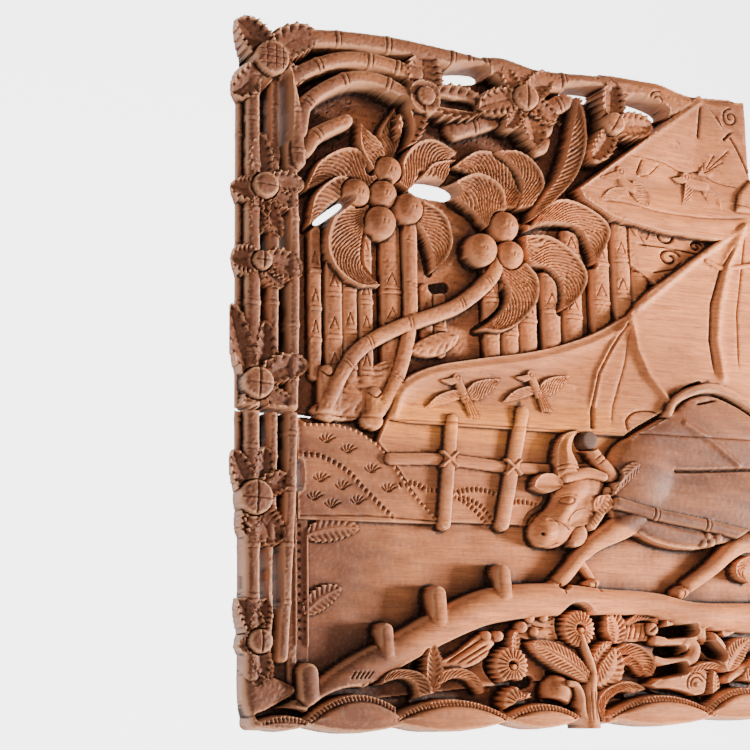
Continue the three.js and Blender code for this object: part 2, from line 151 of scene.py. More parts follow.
def window(points, pad):
    """The rows and columns of the field within `pad` of the points."""
    low = np.min(points, axis=0) - pad
    high = np.max(points, axis=0) + pad
    cols = slice(max(0, int((low[0] - U_MIN) / CELL)), max(1, int((high[0] - U_MIN) / CELL) + 2))
    rows = slice(max(0, int((low[1] - V_MIN) / CELL)), max(1, int((high[1] - V_MIN) / CELL) + 2))
    return rows, cols


def ruler(line, pad):
    """Near a line: the window, the share of it passed, and the distance from it, left side positive."""
    return ruler_at(window(line, pad), line)


def ruler_at(spot, line):
    """The same for a window already chosen."""
    line = np.asarray(line, float)
    u, v = U[spot], V[spot]
    steps = np.diff(line, axis=0)
    lengths = np.hypot(steps[:, 0], steps[:, 1])
    passed = np.concatenate([[0], np.cumsum(lengths)])
    best = np.full(u.shape, 1e9)
    share = np.zeros(u.shape)
    side = np.ones(u.shape)
    for (pu, pv), (du, dv), length, before in zip(line, steps, lengths, passed):
        if length < 1e-9:
            continue
        t = np.clip(((u - pu) * du + (v - pv) * dv) / length ** 2, 0, 1)
        ru, rv = u - pu - t * du, v - pv - t * dv
        r2 = ru * ru + rv * rv
        near = r2 < best
        best = np.where(near, r2, best)
        share = np.where(near, (before + t * length) / passed[-1], share)
        side = np.where(near, np.where(du * rv - dv * ru < 0, -1.0, 1.0), side)
    return spot, share, np.sqrt(best) * side


def area(outline, pad=4.0):
    """Near a closed outline: the window and the distance outside it, negative within."""
    outline = np.asarray(outline, float)
    closed = np.vstack([outline, outline[:1]])
    spot, _, distance = ruler(closed, pad)
    u, v = U[spot], V[spot]
    within = np.zeros(u.shape, bool)
    for (au, av), (bu, bv) in zip(closed[:-1], closed[1:]):
        if av == bv:
            continue
        crosses = (av > v) != (bv > v)
        within ^= crosses & (u < (bu - au) * (v - av) / (bv - av) + au)
    return spot, np.where(within, -1, 1) * np.abs(distance)


def lift(spot, height):
    """Raises the carving to the height where it is lower."""
    H[spot] = np.maximum(H[spot], np.minimum(height, TOP_LIMIT))


def wall(distance):
    """The drop of a steep carved wall at a distance outside an edge."""
    return STEEP * np.maximum(0, distance)


def fade(x, start, end):
    """A smooth step from 0 at `start` to 1 at `end`."""
    t = np.clip((x - start) / (end - start), 0, 1)
    return t * t * (3 - 2 * t)


def belly(t, full, power):
    """A leaf's width along its length: nothing at both ends, one at the share `full`."""
    t = np.clip(t, 1e-4, 1 - 1e-4)
    return (t / full) ** (power * full) * ((1 - t) / (1 - full)) ** (power * (1 - full))


def notch(phase, share):
    """A V groove once in every turn of the phase, from 0 to 1 deep."""
    turn = phase - np.floor(phase)
    return np.maximum(0, 1 - np.abs(turn - 0.5) / share)


def noise(u, v, size, seed):
    """Smooth noise about -1 to 1 with features of the given size."""
    rng = np.random.default_rng(1000 + seed)
    total = np.zeros(np.shape(u))
    for _ in range(7):
        angle = rng.uniform(0, math.tau)
        wave = rng.uniform(0.6, 1.6) * math.tau / size
        total += np.sin((u * math.cos(angle) + v * math.sin(angle)) * wave + rng.uniform(0, math.tau))
    return total / 3.5


# ---- gouge cuts ----------------------------------------------------------------------
def groove(line, half, depth, taper=0.0):
    """An incised line; with a taper it starts and ends in nothing."""
    spot, t, s = ruler(line, half + 1)
    cut = depth * np.maximum(0, 1 - np.abs(s) / half)
    if taper:
        cut = cut * np.minimum(1, np.minimum(t, 1 - t) / taper)
    H[spot] = np.where(H[spot] > 1, H[spot] - cut, H[spot])


def ridge(line, half, rise):
    """A soft raised line on what is already carved."""
    spot, _, s = ruler(line, 2.2 * half)
    H[spot] = np.where(H[spot] > 1, H[spot] + rise * np.exp(-(s / half) ** 2), H[spot])


def cross_strokes(line, half, pitch, depth, width=0.45):
    """Short cuts across a line, like stitches, `pitch` apart."""
    line = np.asarray(line, float)
    total = np.hypot(*np.diff(line, axis=0).T).sum()
    spot, t, s = ruler(line, half + 1)
    cut = depth * notch(t * total / pitch, width)
    cut = cut * np.clip(1.6 * (1 - np.abs(s) / half), 0, 1)
    H[spot] = np.where(H[spot] > 1, H[spot] - cut, H[spot])


def stitched_band(line, half, rise, pitch, depth):
    """A raised band with cross cuts."""
    ridge(line, 0.9 * half, rise)
    cross_strokes(line, 0.9 * half, pitch, depth)


def hole(points, half):
    """A pierced gap round a line."""
    spot, t, s = ruler(points, half + 4)
    width = half * (0.55 + 0.45 * np.sqrt(np.clip(4 * t * (1 - t), 0, 1)))
    inside = np.abs(s) - width
    H[spot] = np.minimum(H[spot], OUTSIDE + STEEP * np.maximum(0, inside))


def pit(centre, radius, floor):
    """A round recess, down to a floor."""
    spot = window([centre], radius + 4)
    r = np.hypot(U[spot] - centre[0], V[spot] - centre[1])
    H[spot] = np.minimum(H[spot], floor + STEEP * np.maximum(0, r - radius))


def drill(centre, radius, depth):
    """A small round hole that narrows as it goes down."""
    spot = window([centre], radius + 2)
    r = np.hypot(U[spot] - centre[0], V[spot] - centre[1])
    H[spot] -= depth * np.maximum(0, 1 - r / radius)


def sink(points, half, floor):
    """A recess round a line, down to a floor."""
    spot, _, s = ruler(points, half + 4)
    H[spot] = np.minimum(H[spot], floor + STEEP * np.maximum(0, np.abs(s) - half))


# ---- carved forms --------------------------------------------------------------------
def plate(outline, top, soft=0.0):
    """A flat area; `soft` rounds its edge."""
    spot, d = area(outline)
    drop = soft * (1 - fade(-d, 0, 2.5 * soft)) if soft else 0
    lift(spot, top - drop - wall(d))


def disc(centre, radius, top, bulge):
    """A round button whose rim lies lower than its middle by `bulge`."""
    spot = window([centre], radius + 4)
    r = np.hypot(U[spot] - centre[0], V[spot] - centre[1])
    lift(spot, top - bulge * np.clip(r / radius, 0, 1) ** 3 - wall(r - radius))


def ball(centre, radius, top):
    spot = window([centre], radius + 3)
    r = np.hypot(U[spot] - centre[0], V[spot] - centre[1]) / radius
    lift(spot, top - radius * (1 - np.sqrt(np.clip(1 - r * r, 0, 1))) - wall((r - 1) * radius))


def dome(centre, radii, turn, base, rise):
    """The height field of a half ellipsoid, for joining into a body."""
    du, dv = U - centre[0], V - centre[1]
    x = du * math.cos(turn) + dv * math.sin(turn)
    y = dv * math.cos(turn) - du * math.sin(turn)
    q2 = (x / radii[0]) ** 2 + (y / radii[1]) ** 2
    return base + rise * np.sqrt(np.clip(1 - q2, 0, 1)) - wall((np.sqrt(q2) - 1) * min(radii))


def bar(line, halves, tops, roundness, nodes=(), ring=1.0):
    """A round-backed bar; its half width and crest run through the given values along it."""
    line = np.asarray(line, float)
    halves, tops = np.atleast_1d(halves), np.atleast_1d(tops)
    total = np.hypot(*np.diff(line, axis=0).T).sum()
    spot, t, s = ruler(line, halves.max() + 4)
    half = np.interp(t, np.linspace(0, 1, len(halves)), halves)
    top = np.interp(t, np.linspace(0, 1, len(tops)), tops)
    cuts = 0
    for node in nodes:
        away = np.abs(t * total - node)
        half = half + 0.7 * np.exp(-(away / 3.0) ** 2)
        top = top + 0.9 * np.exp(-(away / 3.2) ** 2)
        cuts = cuts + ring * np.maximum(0, 1 - np.abs(away - 2.4) / 0.9)
    r = np.abs(s) / half
    round_off = roundness * half * (1 - np.sqrt(np.clip(1 - r * r, 0, 1)))
    lift(spot, top - round_off - cuts - wall(np.abs(s) - half))


def leaf(root, tip, half, top, bend, teeth=0, strokes=0, cup=0.0, lean=0.0, sweep=1.0, cut=1.1,
         rib=0.0, full=0.45, droop=0.0, power=1.3, smooth=0.12):
    """A pointed leaf; cup > 0 hollows it, cup < 0 domes it, lean raises its left side."""
    spot, t, s = ruler(arc(root, tip, bend), 1.3 * half + 4)
    width = half * belly(t, full, power) + 0.3
    if teeth:
        turn = t * teeth
        width = width * (1 - 0.2 * (turn - np.floor(turn)))
    across = np.clip(np.abs(s) / width, 0, 1)
    height = top - max(cup, 0) * (1 - across ** 2) + min(cup, 0) * across ** 2
    height = height + lean * np.clip(s / half, -1, 1) - droop * t ** 2
    if strokes:
        combs = notch(t * strokes - sweep * across, 0.36)
        height = height - cut * combs * fade(across, smooth, smooth + 0.25)
    height = height + rib * np.maximum(0, 1 - np.abs(s) / 1.5)
    lift(spot, height - wall(np.abs(s) - width))


def crescent(outer, inner, top, combed=True, cut=1.7, rim=1.2, fall=3.5, droop=2.0, soft=0.0, pitch=4.2):
    """A half frond between two lines from root to tip, combed inside a raised rim on the outer one."""
    outer, inner = spline(outer), spline(inner)
    spot, d = area(np.vstack([outer, inner[::-1]]), 4)
    _, t_outer, s_outer = ruler_at(spot, outer)
    _, t_inner, s_inner = ruler_at(spot, inner)
    across = np.abs(s_inner) / (np.abs(s_inner) + np.abs(s_outer) + 1e-6)
    t = t_inner + (t_outer - t_inner) * across
    height = top - fall * (1 - across) - droop * t ** 2 + rim * fade(across, 0.84, 0.93)
    if combed:
        length = np.hypot(*np.diff(outer, axis=0).T).sum()
        width = np.max(np.where(d < 0, np.abs(s_inner) + np.abs(s_outer), 0))
        phase = t * length / (1.6 * pitch) - across * width / pitch
        height = height - cut * notch(phase, 0.42) * (1 - fade(across, 0.86, 0.93))
    if soft:
        height = height - soft * (1 - fade(-d, 0, 2 * soft))
    lift(spot, height - wall(d))


# ---- ground of the panel -------------------------------------------------------------
OUTLINE_TOP = [(541, 608), (510, 607), (480, 608), (455, 612), (433, 616), (388, 615.5), (348, 614),
               (308, 609.5), (275, 607), (250, 611), (220, 615), (166, 616), (126, 616.5), (90, 612),
               (60, 609), (20, 608), (-1, 608)]
OUTLINE_LEFT = [(1.5, 590), (1, 562), (0, 500), (1, 460), (1, 420), (0, 390), (0, 330), (4, 296),
                (5, 280), (0.5, 266), (0, 240), (0.5, 214), (4, 199), (3, 182), (7, 172), (7, 144),
                (4, 118), (3, 92), (3.5, 56), (5, 30), (7, 18), (12, 9)]
HUMPS = [(14, 64, 6, 5), (54, 154, 22, 8), (132, 250, 17, 9), (242, 320, 12, 8), (344, 466, 18, 8),
         (446, 548, 24, 4)]


def edge_outline():
    lower = [(12, 9)]
    for start, end, _, sag in HUMPS:
        lower.extend(arc((start + 4, 6.5), (end - 4, 6.5), -sag, 8))
    lower.append((541, 7))
    return np.vstack([spline(OUTLINE_TOP, 5), spline(OUTLINE_LEFT, 4), lower])


def base():
    spot, d = area(edge_outline(), 8)
    H[spot] = np.maximum(H[spot], BORDER - wall(d))
    spot, d = area([(62, 30), (541, 30), (541, 600), (62, 600)], 3)
    rough = 0.9 * noise(U[spot], V[spot], 26, 1) + 0.5 * noise(U[spot], V[spot], 9, 2)
    lift(spot, GROUND + rough - wall(d))


def chisel_marks(outline, count, length, depth, angle, spread):
    """Scattered short gouge cuts inside an outline."""
    outline = np.asarray(outline, float)
    low, high = outline.min(axis=0), outline.max(axis=0)
    for _ in range(count):
        start = RNG.uniform(low, high)
        turn = angle + RNG.normal(0, spread)
        reach = length * RNG.uniform(0.6, 1.4)
        end = start + reach * np.array([math.cos(turn), math.sin(turn)])
        groove([start, end], 0.9, depth * RNG.uniform(0.5, 1.2), 0.3)


# ---- left border ---------------------------------------------------------------------
CANES_LEFT = [
    ([(12, 46), (12.5, 130), (12, 260), (12.5, 400), (13, 560)], [6.0, 6.4, 6.6, 6.4, 6.4], CANE),
    ([(25, 60), (27.5, 110), (31, 230), (32.5, 400), (34, 560)], [3.6, 3.8, 4.2, 4.6, 4.6], CANE - 4),
    ([(38, 60), (41, 110), (47, 230), (50, 400), (47, 500), (44, 566)], [4.8, 4.8, 4.8, 5.0, 5.4],
     CANE - 1),
    ([(2.5, 200), (2.5, 420), (3, 545)], [2.6, 2.6], CANE - 10),
]


SLOTS_LEFT = [([(22, 484), (22, 552)], 2.2), ([(22, 404), (22, 440)], 2), ([(41, 504), (42, 562)], 2.6),
              ([(41.5, 404), (41.5, 452)], 2.4), ([(21.5, 214), (21, 258)], 1.8),
              ([(22, 102), (22, 150)], 2.4), ([(34, 102), (34, 150)], 2.2), ([(58, 200), (58, 222)], 2.6)]


def left_canes():
    for i, (line, halves, top) in enumerate(CANES_LEFT):
        nodes = np.arange(22 + 11 * i, 560, 41 + 3 * i)
        bar(spline(line), halves, top, 0.75, nodes, 1.1)
    for line, half in SLOTS_LEFT:
        hole(line, half)


def button_cuts(centre, radius, kind):
    """What is cut into the face of a flower's button."""
    u, v = centre
    if kind == "grid":
        for k in (-0.45, 0.0, 0.45):
            row = [(u - 0.8 * radius, v + k * radius), (u + 0.8 * radius, v + 0.8 * k * radius)]
            groove(row, 0.8, 1.4)
        for k in (-0.4, 0.15, 0.6):
            column = [(u + k * radius, v - 0.75 * radius), (u + k * radius, v + 0.8 * radius)]
            groove(column, 0.7, 1.0, 0.1)
    if kind in ("slot", "cross"):
        groove([(u, v - 0.95 * radius), (u + 0.05 * radius, v + 0.95 * radius)], 1.2, 2.2)
    if kind in ("bar", "cross"):
        groove([(u - 0.9 * radius, v), (u + 0.9 * radius, v - 0.1 * radius)], 1.0, 1.6)
    if kind == "diagonal":
        groove([(u - 0.5 * radius, v - 0.8 * radius), (u + 0.5 * radius, v + 0.8 * radius)], 1.0, 1.8)


def collar(centre, inner, outer, top):
    """A ring of four overlapping petals round a button."""
    parts = 4
    spot = window([centre], outer + 3)
    du, dv = U[spot] - centre[0], V[spot] - centre[1]
    r, turn = np.hypot(du, dv), np.arctan2(dv, du) / math.tau
    step = turn * parts - np.floor(turn * parts)
    height = top + 1.6 * (r - inner) / (outer - inner) - 1.5 * step
    edge = outer * (0.94 + 0.08 * np.sin(math.pi * step))
    lift(spot, height - wall(r - edge))


LEFT_FLOWERS = [
    # centre, button radius, button kind, leaves: tip, half width, bend, cup
    ((22, 458), 11, "bar", [((-8.5, 456), 10, 3, 2), ((20, 506), 10, 2, 2.5), ((59, 462), 9, 4, -1),
                            ((54, 446), 7, -3, 1), ((14, 413), 8, 0, 3), ((38, 415), 7, -2, 3)]),
    ((19, 391), 8, "cross", [((-7.5, 392), 12, 0, 2), ((57, 384), 12, 3, 2), ((40, 372), 7, -2, 1)]),
    ((15, 285), 13, "cross", [((-6, 352), 10, 4, 3), ((24, 340), 8, -3, 3), ((62, 304), 11, 5, 2),
                              ((50, 270), 8, -4, 2), ((5, 262), 6, 0, 1)]),
    ((13, 189), 14, "cross", [((-4, 228), 9, 2, 2), ((24, 232), 8, -2, 2), ((47, 205), 9, 4, 3),
                              ((40, 158), 14, -7, 4), ((6, 158), 8, 0, 2)]),
    ((17, 72), 9.5, "slot", [((0, 106), 9, -2, 2), ((25, 106), 8, 3, 3), ((0, 68), 7, 0, 1),
                             ((14, 36), 8, 3, 2), ((28, 42), 7, -3, 2)]),
]
CORNER_FLOWER = ((27, 574), 15, "grid", [((-2, 608.5), 13, -2, 4), ((72, 605), 14, 5, -1.5),
                                         ((-7.5, 538), 12, 2, 2), ((60, 562), 8, -3, -1)])


def flower(centre, radius, kind, leaves, top):
    """Hollow notched leaves round a button that stands in a deep ring."""
    teeth = 7
    for tip, half, bend, cup in leaves:
        leaf(centre, tip, 1.15 * half, top - 4.5, bend, teeth, teeth, cup + 3.5, sweep=0.9, cut=2.6,
             rib=-0.8, full=0.52, droop=2.5, power=1.15, smooth=0.45)
    pit(centre, radius + 1.4, top - 15)
    disc(centre, radius, top, 2.5)
    button_cuts(centre, radius, kind)


def left_border():
    left_canes()
    for centre, radius, kind, leaves in LEFT_FLOWERS:
        flower(centre, radius, kind, leaves, FLOWER - 2)


def inner_strip():
    """The dotted ridges between the left border and the field."""
    bar([(50, 30), (50.5, 200)], 4, 17, 0.4)
    plate([(45, 20), (66, 30), (66, 176), (45, 176)], 12)
    ridge([(53, 70), (53, 176)], 1.2, 2.0)
    ridge([(65, 70), (65, 160)], 1.6, 2.4)
    cross_strokes([(58.5, 72), (58.5, 176)], 1.9, 7.2, 2.4, 0.3)
    cross_strokes([(63, 80), (63, 118)], 1.3, 6, 1.6, 0.3)
    plate([(30, 43), (60, 34), (60, 70), (44, 70)], 12)
    corner = [(5, 45), (12, 44), (30, 44), (45, 38), (54, 33), (39, 24), (27, 18), (14, 12), (9, 17),
              (6, 28)]
    lift(*swelling(corner, 17, 9, 9))


# ---- top border ----------------------------------------------------------------------
CANES_TOP = [
    ([(58, 601), (100, 606), (150, 608), (196, 606), (236, 603)], [7.5], CANE + 2, (34, 84, 150, 168)),
    ([(46, 559), (66, 573), (96, 586), (130, 589), (170, 583)], [6.6], CANE + 3, (32, 84, 112)),
    ([(55, 512), (60, 536), (76, 553), (104, 569), (132, 571), (166, 559)], [6.2], CANE + 3,
     (30, 74, 118)),
    ([(62, 498), (74, 514), (100, 529)], [6.6, 6.0], CANE + 1, (18,)),
    ([(42, 566), (49, 530), (53, 484)], [5.2, 6.0], CANE + 5, (36, 74)),
    ([(214, 540), (236, 549), (254, 556)], [9, 9], CANE - 8, (22,)),
    ([(255, 604), (270, 590), (282, 578)], [7], CANE, ()),
    ([(236, 602), (262, 606), (300, 600), (350, 604), (376, 606)], [8.5, 8.5, 9, 8, 8], CANE + 1,
     (8, 92)),
    ([(294, 562), (322, 578), (345, 590)], [8], CANE - 4, (36,)),
    ([(300, 548), (322, 556), (338, 560)], [6], CANE - 6, (20,)),
    ([(300, 532), (322, 541), (334, 545)], [6], CANE - 6, (20,)),
]
TOP_FLOWERS = [
    ((176, 561), 8.5, "none", [((179, 606), 17, 0, 3), ((241, 563), 15, 0, 6),
                               ((158, 514), 12, -2, 3.5)]),
    ((282, 576), 12, "slot", [((262, 604), 8, 2, 1), ((313, 606), 11, 0, 3), ((234, 560), 12, -2, -1),
                              ((296, 532), 13, 2, 4), ((318, 560), 10, 0, 1.5), ((263, 545), 8, 2, 1)]),
    ((379, 564), 10.5, "diagonal", [((384, 610), 12, 0, 4), ((427, 570), 12, 0, 3),
                                    ((356, 527), 10, 3, 3)]),
]
GAPS_TOP = [([(208, 593), (243, 598)], 5), ([(333, 594), (372, 597)], 4.5),
            ([(406, 595), (444, 588)], 5.5)]
GROUND_TOP = [(62, 480), (62, 596), (345, 596), (345, 520), (220, 470)]
RIM = [(370, 616), (433, 617), (458, 612), (480, 609), (541, 609), (541, 560), (520, 575), (490, 596),
       (456, 582), (430, 590), (400, 601), (372, 600)]


def spiral(centre, radius, turns, start):
    t = np.linspace(0, 1, 40)
    angle = start + turns * math.tau * t
    r = radius * (1 - 0.72 * t)
    return np.stack([centre[0] + r * np.cos(angle), centre[1] + r * np.sin(angle)], axis=1)


def top_border():
    chisel_marks(GROUND_TOP, 700, 6, 1.3, 0.9, 0.5)
    for line, halves, top, nodes in CANES_TOP:
        bar(spline(line), halves, top, 0.6, nodes, 1.5)
    plate(spline(RIM + RIM[:1], 3), CANE, 4)
    for centre, start in (((434, 598), 1.2), ((521, 592), 1.6)):
        groove(spiral(centre, 9.5, 1.4, start), 1.2, 2.2)
    for line, half in GAPS_TOP:
        hole(line, half)
    for centre, radius, kind, leaves in TOP_FLOWERS:
        flower(centre, radius, kind, leaves, FLOWER)
    sink([(196, 562), (228, 562)], 4.5, 14)
    collar((176, 561), 9, 16, FLOWER - 5)
    disc((176, 561), 8.5, FLOWER, 1.5)
    centre, radius, kind, leaves = CORNER_FLOWER
    flower(centre, radius, kind, leaves, FLOWER)


# ---- bamboo thicket ------------------------------------------------------------------
STALKS = [
    # u, half width, foot, head, top, nodes from the foot
    (74, 5.4, 300, 428, STALK, (30, 58, 92)), (91, 7.6, 268, 430, STALK + 2, (34, 66, 104, 140)),
    (107, 6.4, 268, 430, STALK, (40, 72, 110)), (122, 6.2, 268, 428, STALK + 1, (36, 70, 100, 140)),
    (148, 9.5, 318, 436, STALK, (30, 62)), (184, 6, 330, 386, STALK - 3, (26,)),
    (197, 6, 330, 380, STALK - 3, (20,)),
    (249, 7.8, 326, 412, STALK, (26, 56)), (268, 8, 330, 420, STALK + 1, (22, 48)),
    (288, 8.6, 336, 432, STALK, (30, 62)), (312, 9.4, 342, 440, STALK + 2, (34, 70)),
    (337, 10, 350, 452, STALK, (24, 60, 84)), (368, 10, 362, 474, STALK + 1, (28, 66, 92)),
    (391, 9.2, 374, 474, STALK + 3, (24, 60)), (413, 9, 392, 460, STALK + 1, (30,)),
]
SHOOTS = [((360, 452), 8), ((392, 474), 8), ((408, 462), 8), ((420, 452), 7)]


def thicket():
    for u, half, foot, head, top, nodes in STALKS:
        line = [(u, foot), (u + 0.8, (foot + head) / 2), (u, head)]
        bar(line, half, top, 0.42, nodes, 1.3)
        sink([(u - half - 0.6, foot), (u - half - 0.6, head)], 0.35, GROUND - 3)
        for node in nodes:
            v = foot + node + 7
            spread = 0.5 * half
            groove([(u - spread, v), (u, v + 10)], 0.8, 1.4)
            groove([(u + spread, v), (u, v + 10)], 0.8, 1.4)
            groove([(u - spread, v), (u + spread, v)], 0.7, 0.9)
    for (u, v), half in SHOOTS:
        sink([(u, v), (u, v + 2)], half - 2, GROUND)
        plate([(u - half, v + half), (u, v - 4), (u + half - 2, v + half + 6), (u, v + 4)], STALK + 4)
    for u, v, half, reach in ((84, 300, 8, 34), (128, 284, 8, 22)):
        bar([(u, v - reach), (u, v)], half, STALK + 5, 0.5)
        groove(arc((u - half + 2, v + 2), (u + half - 2, v + 2), -4), 1.2, 2.5)
    leaf((212, 345), (165, 327), 9, STALK + 4, 2, 0, 6, -2)
    leaf((152, 318), (70, 268), 16, STALK + 1, 12, 0, 9, -2, sweep=2, cut=1.5)


# ---- palms ---------------------------------------------------------------------------
def nuts(places, top):
    for centre, radius in places:
        pit(centre, radius + 0.8, top - 1.1 * radius)
        ball(centre, radius, top)
        u, v = centre
        for k in (-1, 1):
            groove([(u + 2 * k, v - 3), (u + 2 * k + 1, v + 1)], 0.6, 0.9)


def trunk(points, half, top, ticks):
    line = spline(points)
    bar(line, half, top, 0.55)
    total = np.hypot(*np.diff(line, axis=0).T).sum()
    for share in ticks:
        for step in (-1.5, 1.5):
            spot, t, s = ruler(line, half + 2)
            near = np.maximum(0, 1 - np.abs(t * total - share * total - step - 0.15 * s) / 0.9)
            H[spot] -= np.where(np.abs(s) < half - 1, 1.1 * near, 0)


LEFT_FRONDS = [
    # outer line, inner line, top
    ([(146, 498), (137, 525), (155, 554)], [(150, 500), (161, 530), (155, 554)], FROND - 8),
    ([(134, 484), (109, 506), (78, 491), (63, 462)], [(122, 470), (98, 480), (76, 470), (63, 462)],
     FROND - 2),
    ([(126, 488), (115, 508), (116, 532)], [(140, 496), (138, 514), (116, 532)], FROND),
    ([(106, 476), (92, 477), (72, 458), (66, 430)], [(100, 462), (86, 451), (66, 430)], FROND - 1),
    ([(120, 455), (98, 449), (86, 434), (82, 411), (92, 391), (112, 380), (134, 383)],
     [(124, 455), (117, 428), (116, 400), (134, 383)], FROND),
    ([(152, 480), (158, 503), (172, 519), (190, 524), (216, 514)],
     [(163, 474), (177, 488), (192, 504), (216, 514)], FROND),
    ([(178, 490), (190, 503), (214, 510)], [(180, 484), (198, 484), (214, 510)], FROND - 3),
    ([(174, 464), (188, 460), (200, 450), (205, 430), (199, 414), (189, 403)],
     [(164, 452), (177, 438), (185, 422), (189, 403)], FROND),
]
RIGHT_FRONDS = [
    ([(275, 472), (282, 492), (266, 518), (238, 522), (212, 504)],
     [(258, 470), (256, 488), (238, 500), (212, 504)], FROND - 5),
    ([(262, 466), (257, 488), (232, 498), (199, 480)], [(242, 448), (226, 465), (199, 480)], FROND),
    ([(293, 474), (302, 496), (295, 513), (278, 524), (256, 523)],
     [(276, 470), (282, 494), (273, 512), (256, 523)], FROND + 2),
    ([(284, 460), (320, 483), (355, 477), (375, 459), (360, 427)],
     [(286, 451), (310, 461), (341, 460), (355, 442), (360, 427)], FROND),
    ([(282, 444), (309, 445), (336, 430), (347, 411), (338, 391), (320, 377)],
     [(284, 430), (288, 420), (308, 417), (321, 405), (323, 388), (320, 377)], FROND),
    ([(281, 417), (293, 402), (290, 380), (272, 360), (253, 351), (234, 352)],
     [(254, 413), (265, 391), (260, 374), (246, 360), (234, 352)], FROND),
    ([(288, 460), (310, 479), (333, 503), (347, 532), (350, 560), (345, 590)],
     [(290, 468), (305, 487), (319, 505), (329, 527), (338, 558), (345, 590)], FROND + 5),
]


def fronds(crescents):
    for outer, inner, top in crescents:
        middle = np.array(spline([outer[0], *inner[1:-1], outer[-1]], 4))
        sink(middle, 4, GROUND - 2)
        crescent(outer, inner, top)


def left_palm():
    trunk([(166, 446), (165.5, 400), (164, 350), (152, 305), (136, 276), (122, 262)], 6.6, 20,
          (0.1, 0.3, 0.45, 0.75))
    fronds(LEFT_FRONDS)
    nuts([((143, 490), 13), ((138, 467), 13), ((111, 465), 13.5)], NUT - 4)
    nuts([((162, 456), 14), ((134, 440), 15)], NUT - 1)


def right_palm():
    trunk([(256, 424), (249, 404), (234, 388), (214, 373), (193, 363), (153, 347), (118, 327), (99, 305),
           (86, 280), (80, 266)], 6.4, 23, (0.12, 0.27, 0.5, 0.68, 0.8))
    sink(spline([(284, 474), (302, 494), (316, 520), (328, 560)]), 8, GROUND - 2)
    fronds(RIGHT_FRONDS)
    nuts([((261, 451), 14.5), ((266, 424), 13.5)], NUT - 3)
    nuts([((236, 426), 15)], NUT)


# ---- tents ---------------------------------------------------------------------------
UPPER_TENT_LINE = [(486, 611), (412, 550), (341, 496), (346, 487), (376, 472), (430, 464), (497, 462),
                   (530, 470), (541, 480), (541, 540), (530, 548), (515, 575)]
RIDGE = [(141, 264), (153, 295), (183, 313), (230, 324), (292, 336), (347, 354), (390, 377)]
WALL_FOOT = [(541, 176), (250, 176), (186, 176), (163, 204), (149, 224), (132, 244), (141, 264)]


def tent_cloth(outline, top, fall):
    """Stretched cloth: highest along its left edge, falling away from it."""
    spot, d = area(outline)
    lift(spot, top - fall * fade(-d, 0, 60) - wall(d))


def upper_tent():
    """The far tent: a slit under its peak, a crack, and a boat-shaped band along its foot."""
    tent_cloth(UPPER_TENT_LINE, UPPER_TENT + 3, 5)
    ridge([(485, 603), (416, 552), (348, 502)], 2.2, 1.4)
    chisel_marks([(436, 536), (500, 575)], 34, 16, 0.6, -0.55, 0.1)
    groove([(486, 601), (484, 585), (482, 565)], 1.7, 4.0, 0.15)
    groove(spline([(397, 537), (436, 535), (463, 528), (481, 531), (500, 523), (528, 519)], 5), 0.9, 1.8,
           0.05)
    bar(spline([(364, 486), (385, 481), (424, 475), (470, 475), (515, 479), (545, 484)]),
        [2, 6.5, 7.5, 8.5, 9.5, 10], UPPER_TENT + 3, 0.4)
    groove(spline([(364, 487), (394, 488), (436, 483), (491, 484), (536, 489)]), 1.2, 1.6, 0.05)
    plate([(545, 612), (545, 520), (532, 520), (522, 560), (500, 606)], UPPER_TENT + 2)
    groove([(512, 568), (525, 580), (543, 589)], 1.7, 4.5)
    groove(spline([(521, 571), (531, 555), (539, 535)]), 1.5, 4)
    plate([(545, 534), (525, 512), (521, 494), (545, 494)], UPPER_TENT + 6, 1)
    groove([(521, 501), (545, 499)], 1.0, 2)


def lower_tents():
    wall_line = np.vstack([spline(RIDGE, 5), [(415, 402), (541, 490)], WALL_FOOT])
    plate(wall_line, TENT_WALL)
    cloth = np.vstack([spline(RIDGE, 5), [(415, 402), (470, 441), (533, 485), (541, 486)],
                       [(541, 262), (420, 262), (350, 262), (250, 262), (160, 262)]])
    spot, d = area(cloth)
    right = fade(U[spot], 300, 420)
    lift(spot, TENT_WALL + 4 + (TENT - TENT_WALL) * right - 3 * fade(-d, 0, 26) * (1 - right) - wall(d))
    ridge([(392, 374), (397, 344), (408, 320), (430, 295)], 4, 4.5)
    ridge([(388, 372), (371, 346), (356, 320), (349, 290)], 3, 2.5)
    groove([(388, 368), (372, 346), (357, 320), (349, 290), (347, 268)], 2.4, 3.5)
    groove([(392, 368), (384, 330), (370, 290), (366, 268)], 1.2, 1.0, 0.1)
    ridge([(530, 478), (508, 440), (494, 396), (489, 360), (494, 325)], 5, 4)
    groove([(520, 462), (499, 430), (486, 396), (482, 360), (486, 325)], 2.2, 3.0, 0.1)
    groove([(533, 478), (524, 430), (516, 390), (514, 330)], 1.2, 1.4, 0.1)
    ridge([(533, 482), (470, 438), (400, 384)], 3.0, 2.2)
    ridge(spline([(146, 268), (156, 290), (184, 306), (230, 316), (292, 328), (347, 346), (386, 366)], 5),
          3.2, 2.4)
    bar(spline([(483, 440), (500, 434), (525, 438), (541, 442)], 4), 2.2, TENT + 6, 0.6)
    for centre in ((334, 303), (381, 302)):
        drill(centre, 3, 0.8)


def feathers(outer, inner, top):
    """A low combed wing or tail."""
    crescent(outer, inner, top, cut=1.0, rim=0, fall=0.6, droop=0, pitch=3.1)


